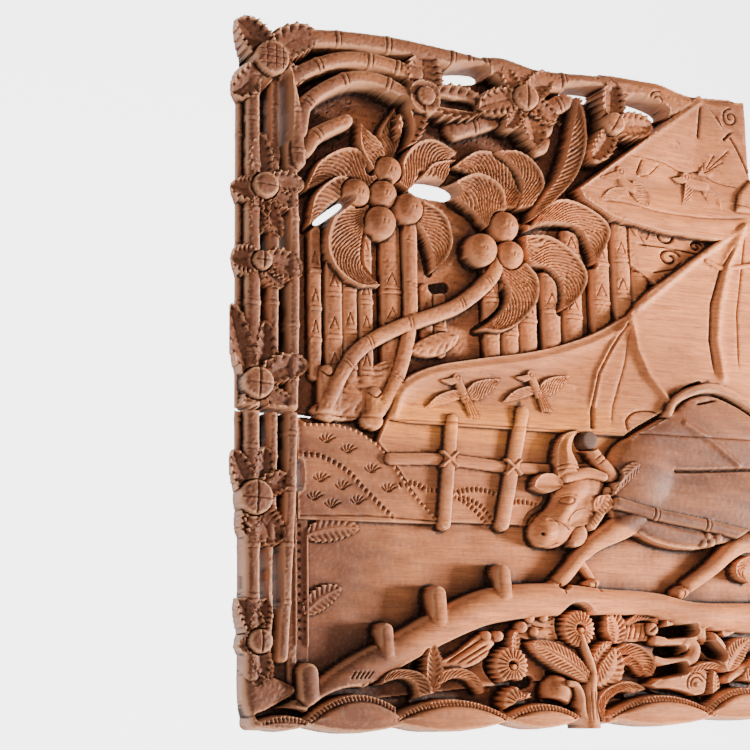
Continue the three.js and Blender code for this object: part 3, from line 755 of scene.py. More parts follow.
def bird_head(eye, beak, radius, top):
    """A round head with a ring eye and a long beak."""
    leaf((eye[0], eye[1] - 0.4 * radius), beak, 0.6 * radius, top, 1.5, droop=0.6, full=0.3)
    disc(eye, radius, top + 0.3, 0.8)
    spot = window([eye], radius)
    r = np.hypot(U[spot] - eye[0], V[spot] - eye[1])
    H[spot] -= 1.1 * np.exp(-((r - 0.48 * radius) / 0.7) ** 2)


def flying_bird(at, size, top):
    """A bird of the near tent, its wings spread to both sides."""
    def place(*offsets):
        return [(at[0] + size * du, at[1] + size * dv) for du, dv in offsets]

    feathers(place((-3, 3), (-12, 2), (-26, -4), (-38, -15)),
             place((-3, -5), (-14, -9), (-27, -13), (-38, -15)), top)
    feathers(place((4, 4), (12, 11), (24, 15), (41, 17)),
             place((8, -5), (18, -4), (28, 3), (41, 17)), top)
    bar(place((-5, 14), (-2, 5), (3, -5)), [3.4 * size, 4.6 * size, 4 * size], top + 0.8, 0.35)
    tail = place((1, -5), (6, -22), (18, -21), (8, -4))
    plate(tail, top + 0.3)
    for k in (0.1, 0.35, 0.6, 0.85):
        start = (1 - k) * np.array(tail[0]) + k * np.array(tail[3])
        end = (1 - k) * np.array(tail[1]) + k * np.array(tail[2])
        groove([start, end], 0.8, 1.2)
    eye, beak = place((-5.5, 14.5), (-22, 11))
    bird_head(eye, beak, 4.4 * size, top + 0.8)
    for k in range(3):
        groove(arc(*place((-2 - k, 3 - 4 * k), (5 - k, 4 - 4 * k)), -1.5), 0.7, 0.8)


def gliding_bird(top):
    """The lower bird of the far tent, with a folded wing and drooping feathers."""
    plate([(407, 517), (413, 535), (424, 535), (434, 533), (420, 520)], top - 1.2)
    groove([(406, 519), (413, 535)], 1.2, 2.6, 0.1)
    groove(arc((411, 517), (433, 533), -3), 0.8, 1.2)
    feathers([(393, 503), (376, 500), (361, 487)], [(397, 496), (377, 489), (361, 487)], top)
    feathers([(401, 511), (414, 508), (419, 498), (418, 487)], [(398, 502), (404, 492), (418, 487)], top)
    bar(spline([(387, 516), (390, 508), (400, 503)]), [5, 5.5, 4.5], top + 0.8, 0.4)
    bird_head((387, 518.5), (364, 510), 5.2, top + 1)


def fan_winged_bird(top):
    """The upper bird of the far tent, with one wing spread like a fan."""
    fan = [(480, 528), (488, 540), (501, 552), (518, 558), (511, 545), (494, 527)]
    plate(fan, top - 0.8)
    for tip in fan[1:-1]:
        groove([(487, 530), tip], 0.8, 1.4, 0.1)
    feathers([(464, 516), (461, 502), (456, 487)], [(474, 513), (470, 501), (461, 486)], top)
    feathers([(492, 517), (503, 507), (505, 494)], [(483, 513), (491, 500), (501, 489)], top)
    bar(spline([(463, 523), (472, 518), (488, 517)]), [4.5, 5.5, 5], top + 0.8, 0.4)
    bird_head((465, 523.5), (449, 520), 4.6, top + 1)


def birds():
    flying_bird((214, 291), 0.98, TENT_WALL + 4.4)
    flying_bird((290, 300), 0.92, TENT_WALL + 4.4)
    gliding_bird(UPPER_TENT + 3.4)
    fan_winged_bird(UPPER_TENT + 0.8)


def clouds():
    """Scrolled clouds between the two tents."""
    plate([(400, 470), (541, 470), (541, 488), (470, 440), (430, 412), (400, 430)], STALK + 3)
    for centre, radius in (((444, 462), 10), ((446, 441), 9), ((478, 456), 5)):
        line = spiral(centre, radius, 1.15, 0.4)
        line[:, 0] = centre[0] + 1.45 * (line[:, 0] - centre[0])
        groove(line, 1.9, 4.2)
    groove(spline([(408, 451), (444, 451), (484, 448)]), 1.3, 3.0, 0.1)
    groove(spline([(406, 467), (429, 468), (462, 472), (470, 464)]), 1.3, 3.0, 0.1)
    groove([(424, 424), (450, 430), (462, 440)], 1.3, 2.6, 0.1)


# ---- hills, field and fence ----------------------------------------------------------
HILL_OUTER = [(62, 256), (93, 257), (113, 252), (132, 241), (148, 222), (162, 203), (187, 178)]
HILL_INNER = [(60, 229), (78, 228), (101, 217), (117, 202), (143, 179)]
GRASS = [(84, 240), (104, 232), (126, 216), (78, 206), (98, 200), (72, 190), (112, 188), (142, 200),
         (88, 184)]
FIELD_LINE = [(60, 180), (541, 180), (541, 60), (60, 20)]


def hills():
    outline = [(56, 174), (56, 262)] + HILL_OUTER + [(190, 174)]
    plate(outline, FIELD + 5)
    outer, inner = spline(HILL_OUTER, 6), spline(HILL_INNER, 6)
    spot, d = area(np.vstack([[(56, 176)], [(56, 230)], inner, [(143, 176)]]))
    lift(spot, FIELD + 6 - wall(d))
    stitched_band(outer, 3.4, 2.6, 5.4, 3.2)
    stitched_band(inner, 3.2, 2.4, 5.4, 3.2)
    for u, v in GRASS:
        for turn in (-0.9, -0.45, 0.0, 0.45, 0.9):
            tip = (u + 11 * math.sin(turn), v + 9 * math.cos(turn))
            groove(arc((u, v), tip, 1.2, 4), 1.0, 1.9, 0.2)
    groove([(58, 177), (120, 179), (200, 176), (260, 178), (330, 176)], 1.2, 1.8)


def field():
    spot, d = area(FIELD_LINE)
    lift(spot, FIELD + 0.35 * noise(U[spot], V[spot], 40, 5) - wall(d))
    for root, tip, half in (((64, 160), (114, 168), 11), ((62, 95), (97, 117), 10)):
        leaf(root, tip, half, FIELD + 4, 3, 8, 9, 0.5, sweep=1.0, cut=1.3, rib=0.8)


BANDS = [((150, 206), (176, 204), 4), ((176, 204), (236, 176), 8), ((206, 202), (252, 200), 5),
         ((206, 198), (243, 178), 6), ((262, 196), (300, 190), 3)]


def fence():
    """Two posts and a rail lashed together, with stitched bands running behind them."""
    for start, end, rise in BANDS:
        line = arc(start, end, rise)
        ridge(line, 2.6, 2.0)
        cross_strokes(line, 3.0, 4.6, 3.2, 0.5)
    bar([(202, 266), (192, 174)], 5.4, 23, 0.35)
    bar([(274, 277), (250, 176)], 6.2, 23, 0.35)
    bar(spline([(142, 229), (196, 231), (257, 227), (310, 227), (352, 230)], 5), 5.2, 20, 0.5)
    for u, v in ((198, 231), (262, 227)):
        bar([(u - 7, v - 6), (u + 7, v + 6)], 1.3, 24.6, 0.8)
        bar([(u - 7, v + 6), (u + 7, v - 6)], 1.3, 24.6, 0.8)


# ---- log and pegs --------------------------------------------------------------------
LOG_LINE = [(16, 8), (32, 10), (57, 17), (97, 42), (138, 62), (192, 88), (238, 104), (298, 109.5),
            (350, 108), (400, 106.5), (445, 97.5), (500, 95), (545, 96)]
LOG_HALVES = [5, 12, 13.5, 13.5, 14.5, 15.5, 14.5, 11.5, 10.5, 11.5, 13.5, 14]
LOG_TOPS = [LOG - 6, LOG - 3, LOG - 1] + 6 * [LOG]
PEGS = [((60, 28), 46, 8.5), ((130, 62), 81, 6.5), ((180, 90), 112, 7.5), ((244, 112), 131, 7.5)]


def log_with_pegs():
    for at, head, half in PEGS:
        sink([at, (at[0], head)], half + 1.0, FIELD - 1)
    bar(spline(LOG_LINE, 5), LOG_HALVES, LOG_TOPS, 0.85)
    for at, head, half in PEGS:
        bar([at, (at[0], head)], half, [LOG + 1, LOG - 2], 0.7)
    for centre in ((84, 27), (92, 30), (101, 33), (109, 36), (116, 38)):
        drill(centre, 1.8, 3.5)
    for k in range(5):
        groove([(96 + 4 * k, 41), (101 + 4 * k, 48)], 1.0, 2.2, 0.15)


# ---- lower foliage and humps ---------------------------------------------------------
PEBBLES = [((229, 77), 4.5), ((241, 77), 4.6), ((265, 85), 5), ((273, 93), 4.4), ((287, 94), 4),
           ((277, 81), 4), ((246, 67), 4)]
HOLLOWS = [([(418, 81), (443, 83)], 4.6), ([(414, 64), (430, 64)], 4.2), ([(461, 81), (462, 76)], 3.4),
           ([(465, 69), (474, 60)], 3.6), ([(408, 45), (432, 49)], 4.4), ([(264, 34), (277, 38)], 4.8)]


def wheel(centre, radius, top, ribs):
    """A ribbed cap with scalloped rim, sunk middle and small hub."""
    sink([centre, (centre[0] - 3, centre[1] + 3)], radius + 2, GROUND)
    spot = window([centre], radius + 4)
    du, dv = U[spot] - centre[0], V[spot] - centre[1]
    r = np.hypot(du, dv)
    turn = np.arctan2(dv, du) / math.tau
    edge = radius * (0.97 + 0.04 * np.cos(math.tau * turn * ribs))
    height = top - 4.0 * np.clip(r / radius, 0, 1) ** 2
    height = height - 2.2 * notch(turn * ribs, 0.32) * fade(r, 0.25 * radius, 0.45 * radius)
    height = height - 9 * (1 - fade(r, 0.16 * radius, 0.34 * radius))
    lift(spot, height - wall(r - edge))
    disc((centre[0] + 0.12 * radius, centre[1] - 0.12 * radius), 0.17 * radius, top - 1.5, 0.6)


def humps():
    """The rounded ground along the lower edge, each hump with a roped upper rim."""
    for start, end, rise, sag in HUMPS:
        upper = arc((start, 7), (end, 6), rise, 14)
        lower = arc((end, 6), (start, 7), sag, 8)
        sink(upper[1:-1] + [0, 3.5], 2.2, FIELD)
        spot, d = area(np.vstack([upper, lower[1:-1]]), 5)
        lift(spot, HUMP - 7 * (1 - fade(-d, 0, 9)) - wall(d))
        rope = arc((start + 4, 7), (end - 4, 6), rise - 2.6, 14)
        groove(arc((start + 8, 7), (end - 8, 6), rise - 5.2, 14), 1.2, 2.6)
        ridge(rope, 1.6, 1.4)
        cross_strokes(rope, 2.6, 3.4, 2.6, 0.45)


def rocks():
    """Rough rocks and pebbles behind the lower leaves."""
    boulder = [(183, 55), (200, 62), (222, 77), (232, 81), (237, 67), (216, 52), (187, 49)]
    plate(spline(boulder + boulder[:1], 4), LEAF - 5, 3)
    for start, end in (((188, 53), (228, 76)), ((196, 52), (234, 72)), ((206, 52), (236, 68))):
        groove([start, end], 1.5, 2.6, 0.2)
    plate([(270, 96), (309, 98), (312, 76), (281, 72), (262, 78)], LEAF - 9, 2)
    chisel_marks([(272, 78), (308, 95), (308, 78)], 26, 7, 2.2, 0.0, 0.2)
    for centre, radius in PEBBLES:
        ball(centre, radius, LEAF - 2)


def sprout():
    """The left plant: a pointed leaf between two arched, combed ones."""
    crescent([(124, 37), (131, 46), (142, 49), (158, 47), (168, 40), (170, 30), (167, 18)],
             [(126, 37), (135, 40), (147, 42), (157, 38), (160, 31), (161, 24), (159, 16)], LEAF + 2,
             pitch=3.4, droop=0)
    crescent([(173, 33), (179, 45), (190, 49), (203, 49), (216, 42), (223, 29)],
             [(174, 32), (187, 39), (198, 42), (209, 40), (215, 35), (223, 29)], LEAF + 2, pitch=3.4,
             droop=2)
    sink([(163, 50), (170, 62)], 3, GROUND)
    leaf((172, 30), (173, 70), 7.5, LEAF + 3, -2, 9, 9, 2.5, lean=-2.0, sweep=1.4, cut=1.3)
    bar([(170, 8), (171, 34)], [7, 3.5], LEAF + 1, 0.8)


def central_plant():
    """The leaning stem with its ribbed leaves, fern and curled frond."""
    hollow = [(281, 70), (294, 74), (315, 71), (326, 62), (324, 52), (304, 61)]
    plate(spline(hollow + hollow[:1], 4), LEAF - 7, 4)
    sink([(296, 46), (316, 38)], 2.5, GROUND)
    ball((302, 29), 15, LEAF)
    leaf((331, 37), (271, 71), 9.5, LEAF + 2, -4, 0, 17, -1.5, sweep=2.2, cut=1.8, rib=-1.6, full=0.5)
    sink([(366, 50), (384, 40)], 5, GROUND)
    crescent([(358, 66), (373, 71), (389, 66), (400, 54), (397, 42)],
             [(364, 60), (373, 61), (383, 55), (391, 46), (397, 42)], LEAF, pitch=3.2, cut=2.0)
    crescent([(367, 58), (377, 60), (387, 53), (391, 42)], [(370, 52), (378, 52), (384, 47), (391, 42)],
             LEAF - 4, pitch=2.8)
    leaf((337, 50), (355, 72), 6, LEAF - 1, 3, 7, 7, 1.5, sweep=1.0, cut=1.6)
    leaf((337, 34), (357, 67), 12, LEAF + 1, -6, 0, 9, 1.0, sweep=1.4, cut=1.8)
    sink(spline([(347, 6), (350, 20), (362, 27), (376, 24)]), 3, GROUND)
    crescent([(339, 2), (334, 17), (340, 28), (354, 35), (370, 37), (384, 31), (385, 23), (379, 18)],
             [(344, 2), (345, 16), (354, 25), (366, 29), (376, 26), (379, 18)], LEAF + 3, pitch=3.2,
             cut=2.0, droop=0)
    crescent([(348, 2), (353, 15), (364, 21), (379, 20)], [(356, 2), (362, 9), (369, 12), (379, 20)],
             LEAF + 2, False, rim=0, fall=0, droop=0, soft=3)
    bar(spline([(308, 36), (315, 34), (320, 24), (321, 11), (327, 2)]), [2.5, 3.5, 4, 4.5], LEAF + 2, 0.8)
    bar(spline([(322, 78), (327, 65), (332, 52), (334, 39)]), [1.8, 2.4, 2.8, 3.2], LEAF + 2, 0.8)
    bar(spline([(331, -4), (330, 14), (330, 28), (332, 42)]), [8.5, 6.5, 5.5, 3], LEAF + 4, 0.8)
    for off in (-2.5, 1.5):
        groove([(331 + off, 2), (330 + off, 34)], 0.8, 1.2, 0.2)


def fans():
    """The combed leaves above the central plant."""
    sink([(352, 76), (348, 92)], 3, GROUND + 2)
    leaf((359, 71), (353, 99), 10, LEAF - 2, -5, 0, 9, 1.5, sweep=1.4, cut=1.8)
    plate([(374, 88), (398, 90), (402, 74), (370, 72)], LEAF - 9, 2)
    for k in range(5):
        groove([(371 + 6 * k, 74), (377 + 5.5 * k, 89)], 1.1, 1.8, 0.15)
    crescent([(371, 90), (388, 99), (401, 98), (410, 89)], [(377, 87), (390, 92), (401, 92), (410, 89)],
             LEAF - 3, pitch=3.2)


def coral():
    """The twisting, pierced growth at the right."""
    bar(spline([(404, 74), (425, 72), (444, 76), (452, 84)]), [4, 4, 4.5, 4.5], LEAF - 2, 0.8)
    bar(spline([(429, 62), (439, 73), (447, 66), (440, 56), (417, 53), (401, 57)]),
        [4, 5, 5.5, 5, 4.4, 3], LEAF - 1, 0.8)
    bar(spline([(450, 82), (464, 76), (474, 66), (477, 50)]), [5, 6, 6.5, 5], LEAF + 1, 0.7)
    for off in (-2, 1.5):
        groove(spline([(452 + off, 78 + off), (464 + off, 72 + off), (472 + off, 64), (475 + off, 52)]),
               0.8, 1.4, 0.1)
    disc((401, 84), 5.5, LEAF - 2, 2)
    groove([(398, 82), (404, 86)], 1.2, 3)
    for root, tip in (((420, 85), (418, 95)), ((440, 86), (444, 96)), ((478, 80), (500, 88))):
        leaf(root, tip, 3.5, LEAF - 3, 0, full=0.3)
    leaf((478, 46), (505, 75), 9.5, LEAF + 2, 3, 0, 12, 1, sweep=1.4, cut=1.8)
    leaf((496, 30), (541, 60), 10, LEAF + 2, 4, 0, 12, 1, sweep=1.4, cut=1.8)
    bar(spline([(480, 38), (492, 45), (512, 50), (545, 62)]), [3, 4.5, 5, 5], LEAF, 0.8)


def banks():
    """The ridge and the ringed bank above the last humps."""
    bank = [(395, 34), (412, 42), (431, 46), (459, 46), (463, 30), (440, 24), (420, 26), (404, 30)]
    plate(spline(bank + bank[:1], 3), LEAF - 1, 2)
    for radius in (6.5, 10.5):
        t = np.linspace(0.3, 3.6, 14)
        groove(np.stack([444 + radius * np.cos(t), 34 + radius * np.sin(t)], axis=1), 1.0, 2.2, 0.1)
    disc((444, 34), 2.2, LEAF + 1, 1)
    crescent([(425, 42), (443, 51), (463, 54), (482, 46)], [(430, 38), (446, 45), (463, 48), (482, 46)],
             LEAF + 1, pitch=3.4)
    sink([(456, 26), (459, 42)], 1.8, GROUND)
    leaf((461, 20), (463, 46), 4.2, LEAF + 2, -2, 8, 8, 1.0, sweep=1.0)


def foliage():
    rocks()
    wheel((322, 84), 16, LEAF + 1, 22)
    wheel((252, 52), 16, LEAF + 1, 20)
    leaf((255, 63), (257, 82), 4.5, LEAF - 1, 0, 5, 5, 1.5)
    wheel((257, 19), 15, LEAF + 2, 18)
    sprout()
    fans()
    coral()
    banks()
    central_plant()
    for line, half in HOLLOWS:
        sink(line, half, DEEP)


# ---- water buffalo -------------------------------------------------------------------
def blended(parts, softness):
    """Joins height fields with soft fillets."""
    total = parts[0] / softness
    for part in parts[1:]:
        total = np.logaddexp(total, part / softness)
    return total * softness


BODY = [(364, 178), (360, 205), (366, 232), (384, 258), (404, 270), (432, 286), (443, 301), (459, 311),
        (484, 312), (523, 295), (548, 288), (548, 168), (500, 166), (440, 160), (396, 168)]
HEAD = [(310, 222), (303, 210), (302, 200), (296, 191), (284, 181), (278, 171), (280, 162), (289, 157),
        (302, 156), (313, 160), (322, 168), (334, 178), (344, 190), (354, 202), (358, 216), (350, 226),
        (332, 228)]


def swelling(outline, edge, rise, reach):
    """A body that swells from `edge` by `rise` within `reach` of its outline."""
    spot, d = area(spline(outline + outline[:1], 4), 6)
    inner = np.clip(-d / reach, 0, 1)
    return spot, edge + rise * np.sqrt(1 - (1 - inner) ** 2) - wall(d)


def buffalo():
    sink(spline([(362, 180), (358, 205), (366, 234), (384, 260), (432, 288), (446, 306), (466, 315)]), 3,
         FIELD + 3)
    spot, body = swelling(BODY, 22, 6, 16)
    shoulder = dome((397, 226), (38, 36), 0.2, 18, 15.5)[spot]
    flank = dome((505, 206), (96, 34), -0.06, 18, 14)[spot]
    loin = dome((505, 268), (76, 36), -0.35, 18, 12)[spot]
    lift(spot, blended([body, shoulder, flank, loin], 1.4))
    groove([(430, 230), (456, 231), (513, 235), (541, 236)], 2.4, 5, 0.03)
    ridge([(446, 276), (475, 260), (505, 239)], 3.0, 2.6)
    rope = [(385, 261), (399, 270), (420, 283)]
    ridge(rope, 3.2, 2.4)
    cross_strokes(rope, 3.2, 4.6, 2.6, 0.5)
    groove(spline([(384, 266), (383, 276), (392, 284), (408, 286), (421, 283)]), 1.3, 2.4, 0.05)
    groove([(459, 295), (484, 301)], 1.6, 4.5, 0.2)
    bar(spline([(426, 284), (433, 296), (454, 307), (479, 312), (507, 304), (545, 283)]),
        [3, 4, 4.5, 4.5, 4], 34, 0.6)
    groove(spline([(436, 287), (453, 301), (478, 306), (511, 296), (545, 276)], 4), 2.0, 5, 0.05)
    leaf((389, 234), (359, 204), 6, 35, -3, 0, 9, -1, sweep=1.6, cut=1.3, full=0.35)
    crescent([(370, 190), (392, 170), (421, 160), (458, 159), (482, 172)],
             [(372, 192), (400, 186), (440, 178), (482, 174)], 29, False, rim=0, fall=-1.0, droop=0,
             soft=3)
    bar(spline([(366, 197), (407, 188), (464, 180), (498, 174), (548, 166)], 5), 5.6, 35, 0.8, (40, 98),
        1.4)
    legs()
    buffalo_head()
    for (u, v), radius in (((459, 163), 4), ((468, 165), 4.5), ((476, 169), 5), ((464, 170), 4)):
        disc((u, v), radius, 31, 2)
    crescent([(516, 154), (500, 146), (500, 134), (515, 128)], [(520, 150), (512, 140), (515, 128)], 24)


LEGS = [
    # line down the leg, half widths, tops
    ([(390, 186), (366, 173), (342, 160), (326, 146), (313, 132), (306, 126)], [13, 12, 9, 7, 6, 6],
     [31, 31, 28, 26]),
    ([(330, 146), (336, 138), (342, 130)], [4.5, 4], [18, 18]),
    ([(548, 176), (512, 168), (492, 156), (472, 140), (446, 124)], [14, 13, 8, 6.5, 6],
     [31, 31, 29, 26, 25]),
]
HOOVES = [((303, 122), 1.0), ((341, 124), 0.8), ((438, 118), 1.0)]


def legs():
    for points, halves, tops in LEGS:
        sink(spline(points[1:], 5), 7, FIELD)
        bar(spline(points, 5), halves, tops, 0.85)
    for (u, v), size in HOOVES:
        spot = window([(u, v)], 18)
        foot = dome((u, v), (12 * size, 6.5 * size), 0.3, 13, 11)
        toe = dome((u - 5, v - 1), (6 * size, 5 * size), 0, 13, 12)
        lift(spot, blended([foot[spot], toe[spot]], 1.2))
        groove([(u + 2, v - 7), (u + 1, v + 1)], 1.0, 3)


def buffalo_head():
    sink(spline([(300, 214), (296, 196), (280, 184), (274, 170)]), 3, FIELD + 2)
    spot, face = swelling(HEAD, 17, 11, 15)
    muzzle = dome((292, 167), (13, 10.5), 0.4, 16, 15)
    brow = dome((324, 208), (20, 14), 0.5, 16, 15)
    bridge = dome((312, 190), (9, 24), -0.7, 16, 15.5)
    cheek = dome((338, 196), (12, 13), 0.2, 16, 14)
    lift(spot, blended([face, muzzle[spot], brow[spot], bridge[spot], cheek[spot]], 1.0))
    leaf((309, 212), (280, 209), 8, 30, -3, 0, 0, 3, full=0.55)
    horns()
    bar(spline([(312, 218), (322, 221), (336, 224), (352, 221)], 4), [4, 5, 5, 4], 32, 0.7)
    eye_and_nose()
    leaf((340, 190), (361, 196), 8, 32, 3, 0, 5, 2)
    bar(spline([(356, 208), (352, 196), (346, 186), (338, 176)], 4), [4, 4.5, 4], 31, 0.7)
    cross_strokes(spline([(356, 208), (352, 196), (346, 186), (338, 176)], 4), 4.5, 4, 1.6)
    leaf((340, 184), (314, 176), 7, 29, -3, 0, 0, 2)
    leaf((330, 176), (318, 158), 7, 27, 2, 0, 0, -2)


def horns():
    crescent([(304, 218), (303, 234), (306, 248), (315, 259), (331, 264)],
             [(328, 220), (325, 232), (320, 245), (323, 255), (331, 264)], 34, False, rim=0, fall=0,
             droop=5, soft=5)
    right = spline([(362, 224), (351, 235), (341, 247)], 5)
    sink(right, 7, TENT_WALL)
    bar(right, [7, 6, 5], 31, 0.85)
    for start, end, rise in (((303, 224), (327, 226), 2), ((303, 228), (326, 230), 2),
                             ((345, 230), (356, 238), 1), ((342, 234), (352, 242), 1)):
        groove(arc(start, end, rise), 0.9, 1.8)


def eye_and_nose():
    eye = (313, 198)
    spot = window([eye], 8)
    x, y = (U[spot] - eye[0]) / 6.5, (V[spot] - eye[1]) / 3.4
    r = np.hypot(x, y - 0.15 * x)
    H[spot] += 1.4 * np.exp(-(r / 0.6) ** 2) - 1.8 * np.exp(-((r - 1) / 0.22) ** 2)
    groove(arc((304, 199), (321, 203), 3), 0.8, 1.2)
    drill((286.5, 167), 2.2, 6)
    groove(arc((282, 160), (303, 160), -3), 0.9, 1.8)
    groove(arc((293, 180), (314, 172), 2), 1.0, 1.5)
    groove(arc((290, 184), (303, 176), 2), 1.0, 1.0)


# ---- seam ----------------------------------------------------------------------------
def seam():
    """The glue line: worn a little on both sides, and open at the left."""
    line = [(-10, SEAM), (LENGTH + 5, SEAM)]
    spot = window(line, 6)
    u, off = U[spot], np.abs(V[spot] - SEAM + 0.5 * noise(U[spot], V[spot], 30, 8) * fade(U[spot], 5, 60))
    worn = 1.2 + 0.5 * noise(u, 0 * u, 14, 9)
    left = 1 - fade(u, 60, 130)
    depth = (1.1 + 2.4 * left) * np.maximum(0, 1 - off / (1.3 + 1.6 * left + 0.3 * worn))
    H[spot] = np.where(H[spot] > 1, H[spot] - depth, H[spot])
    gap = 1.5 * np.clip(1 - u / CRACK_LENGTH, 0, 1) ** 0.7 * (1 + 0.35 * noise(u, 0 * u, 9, 10))
    open_gap = (u < CRACK_LENGTH) & (off < gap)
    H[spot] = np.where(open_gap, OUTSIDE, H[spot])


def plug_socket():
    spot = window([(PLUG_U, PLUG_V)], PLUG_R + 4)
    r = np.hypot(U[spot] - PLUG_U, V[spot] - PLUG_V)
    floor = -PLUG_BOX[1][1] / MM - 0.4
    H[spot] = np.minimum(H[spot], floor + STEEP * np.maximum(0, r - PLUG_R - 0.35))


# The borders and the thicket, left rough from the gouge.
GOUGED = [(-20, -20), (56, -20), (60, 268), (140, 268), (150, 300), (230, 330), (345, 360), (415, 402),
          (400, 470), (345, 492), (484, 606), (484, 640), (-20, 640)]


def palm_gaps():
    """The two pierced gaps at the left palm, and the deep hollow beside its trunk."""
    hole([(79, 438), (104, 458)], 2.6)
    hole([(175, 482), (212, 480)], 7)
    sink([(191, 388), (205, 391)], 5, DEEP)


def carve():
    base()
    inner_strip()
    field()
    hills()
    thicket()
    lower_tents()
    clouds()
    upper_tent()
    top_border()
    left_palm()
    right_palm()
    birds()
    fence()
    log_with_pegs()
    foliage()
    humps()
    buffalo()
    left_border()
    palm_gaps()
    seam()
    plug_socket()
    tool_marks()


def tool_marks():
    """The faint ripple of the finish, and flat gouge cuts where it was left rough."""
    tool = 0.10 * noise(U, V, 9, 20) + 0.035 * noise(U, V, 3, 21)
    spot, d = area(GOUGED)
    facets = 0.45 * np.abs(noise(U[spot], V[spot], 10, 41)) + 0.3 * np.abs(noise(U[spot], V[spot], 5, 42))
    tool[spot] -= facets * (1 - fade(d, -2, 2))
    np.copyto(H, np.where(H > 2, np.minimum(H + tool, TOP_LIMIT), H))


# ---- meshes --------------------------------------------------------------------------
def blur(field, radius):
    """A box blur run twice in both directions."""
    n = max(1, int(round(radius / CELL)))
    for _ in range(2):
        for axis in (0, 1):
            padded = np.pad(field, [(n + 1, n) if a == axis else (0, 0) for a in (0, 1)], mode="edge")
            total = np.cumsum(padded, axis=axis)
            size = field.shape[axis]
            upper = np.take(total, np.arange(2 * n + 1, 2 * n + 1 + size), axis=axis)
            lower = np.take(total, np.arange(0, size), axis=axis)
            field = (upper - lower) / (2 * n + 1)
    return field


def add_object(name, data):
    """A new object in the scene."""
    piece = bpy.data.objects.new(name, data)
    bpy.context.scene.collection.objects.link(piece)
    return piece


def block_mesh(name, rows, low_v, high_v):
    """The field between two levels as a closed block that reaches below the back plane."""
    vs = VS[rows].copy()
    vs[0], vs[-1] = low_v, high_v
    heights = H[rows]
    ny, nx = heights.shape
    grid_u, grid_v = np.meshgrid(US, vs)
    top = np.stack([grid_u, -heights, grid_v], axis=-1).reshape(-1, 3)
    right = nx * np.arange(1, ny) + nx - 1
    upper = nx * (ny - 1) + np.arange(nx - 2, -1, -1)
    left = nx * np.arange(ny - 2, 0, -1)
    ring = np.concatenate([np.arange(nx), right, upper, left])
    bottom = top[ring].copy()
    bottom[:, 1] = BELOW_BACK
    points = np.vstack([top, bottom])
    points = (points - [LENGTH / 2, 0, HEIGHT / 2]) * MM
    corner = (np.arange(ny - 1)[:, None] * nx + np.arange(nx - 1)).ravel()
    flip = ((np.arange(ny - 1)[:, None] + np.arange(nx - 1)) % 2 == 0).ravel()
    a, b, c, d = corner, corner + 1, corner + nx + 1, corner + nx
    first = np.where(flip[:, None], np.stack([a, b, c], 1), np.stack([a, b, d], 1))
    second = np.where(flip[:, None], np.stack([a, c, d], 1), np.stack([b, c, d], 1))
    under = nx * ny + np.arange(len(ring))
    after = np.roll(np.arange(len(ring)), -1)
    tris = np.vstack([first, second, np.stack([ring, under, ring[after]], 1),
                      np.stack([ring[after], under, under[after]], 1)])
    mesh = bpy.data.meshes.new(name)
    loops = np.concatenate([tris.ravel(), under[::-1]])
    starts = np.concatenate([3 * np.arange(len(tris)), [3 * len(tris)]])
    mesh.vertices.add(len(points))
    mesh.vertices.foreach_set("co", points.ravel())
    mesh.loops.add(len(loops))
    mesh.loops.foreach_set("vertex_index", loops.astype(np.int32))
    mesh.polygons.add(len(starts))
    mesh.polygons.foreach_set("loop_start", starts.astype(np.int32))
    mesh.update(calc_edges=True)
    return add_object(name, mesh)


def apply_modifier(piece, kind, **settings):
    """Replaces the piece's mesh by what the modifier makes of it."""
    modifier = piece.modifiers.new(kind.lower(), kind)
    for key, value in settings.items():
        setattr(modifier, key, value)
    depsgraph = bpy.context.evaluated_depsgraph_get()
    mesh = bpy.data.meshes.new_from_object(piece.evaluated_get(depsgraph))
    piece.modifiers.clear()
    old = piece.data
    piece.data = mesh
    bpy.data.meshes.remove(old)


def front_space():
    """The space in front of the back plane, with the panel's left end bevelled back."""
    left, deep, far = CAD_BOX[0][0] - MM, 1.5 * CAD_BOX[0][1], 1.0
    profile = [(left, deep), (left, -END_BEVEL[1] * MM), (left + END_BEVEL[0] * MM, 0), (far, 0),
               (far, deep)]
    count = len(profile)
    points = [(x, y, z) for z in (-far, far) for x, y in profile]
    sides = [(k, (k + 1) % count, count + (k + 1) % count, count + k) for k in range(count)]
    mesh = bpy.data.meshes.new("front_space")
    mesh.from_pydata(points, [], [tuple(range(count))[::-1], tuple(range(count, 2 * count)), *sides])
    bm = bmesh.new()
    bm.from_mesh(mesh)
    bmesh.ops.recalc_face_normals(bm, faces=bm.faces)
    bm.to_mesh(mesh)
    bm.free()
    return add_object("front_space", mesh)


def keep_main_body(piece):
    """Drops chips that hang on nothing."""
    bm = bmesh.new()
    bm.from_mesh(piece.data)
    bm.verts.ensure_lookup_table()
    seen = np.zeros(len(bm.verts), bool)
    islands = []
    for vert in bm.verts:
        if seen[vert.index]:
            continue
        seen[vert.index] = True
        stack, island = [vert], []
        while stack:
            here = stack.pop()
            island.append(here)
            for edge in here.link_edges:
                other = edge.other_vert(here)
                if not seen[other.index]:
                    seen[other.index] = True
                    stack.append(other)
        islands.append(island)
    islands.sort(key=len)
    for island in islands[:-1]:
        bmesh.ops.delete(bm, geom=island, context="VERTS")
    bm.to_mesh(piece.data)
    bm.free()


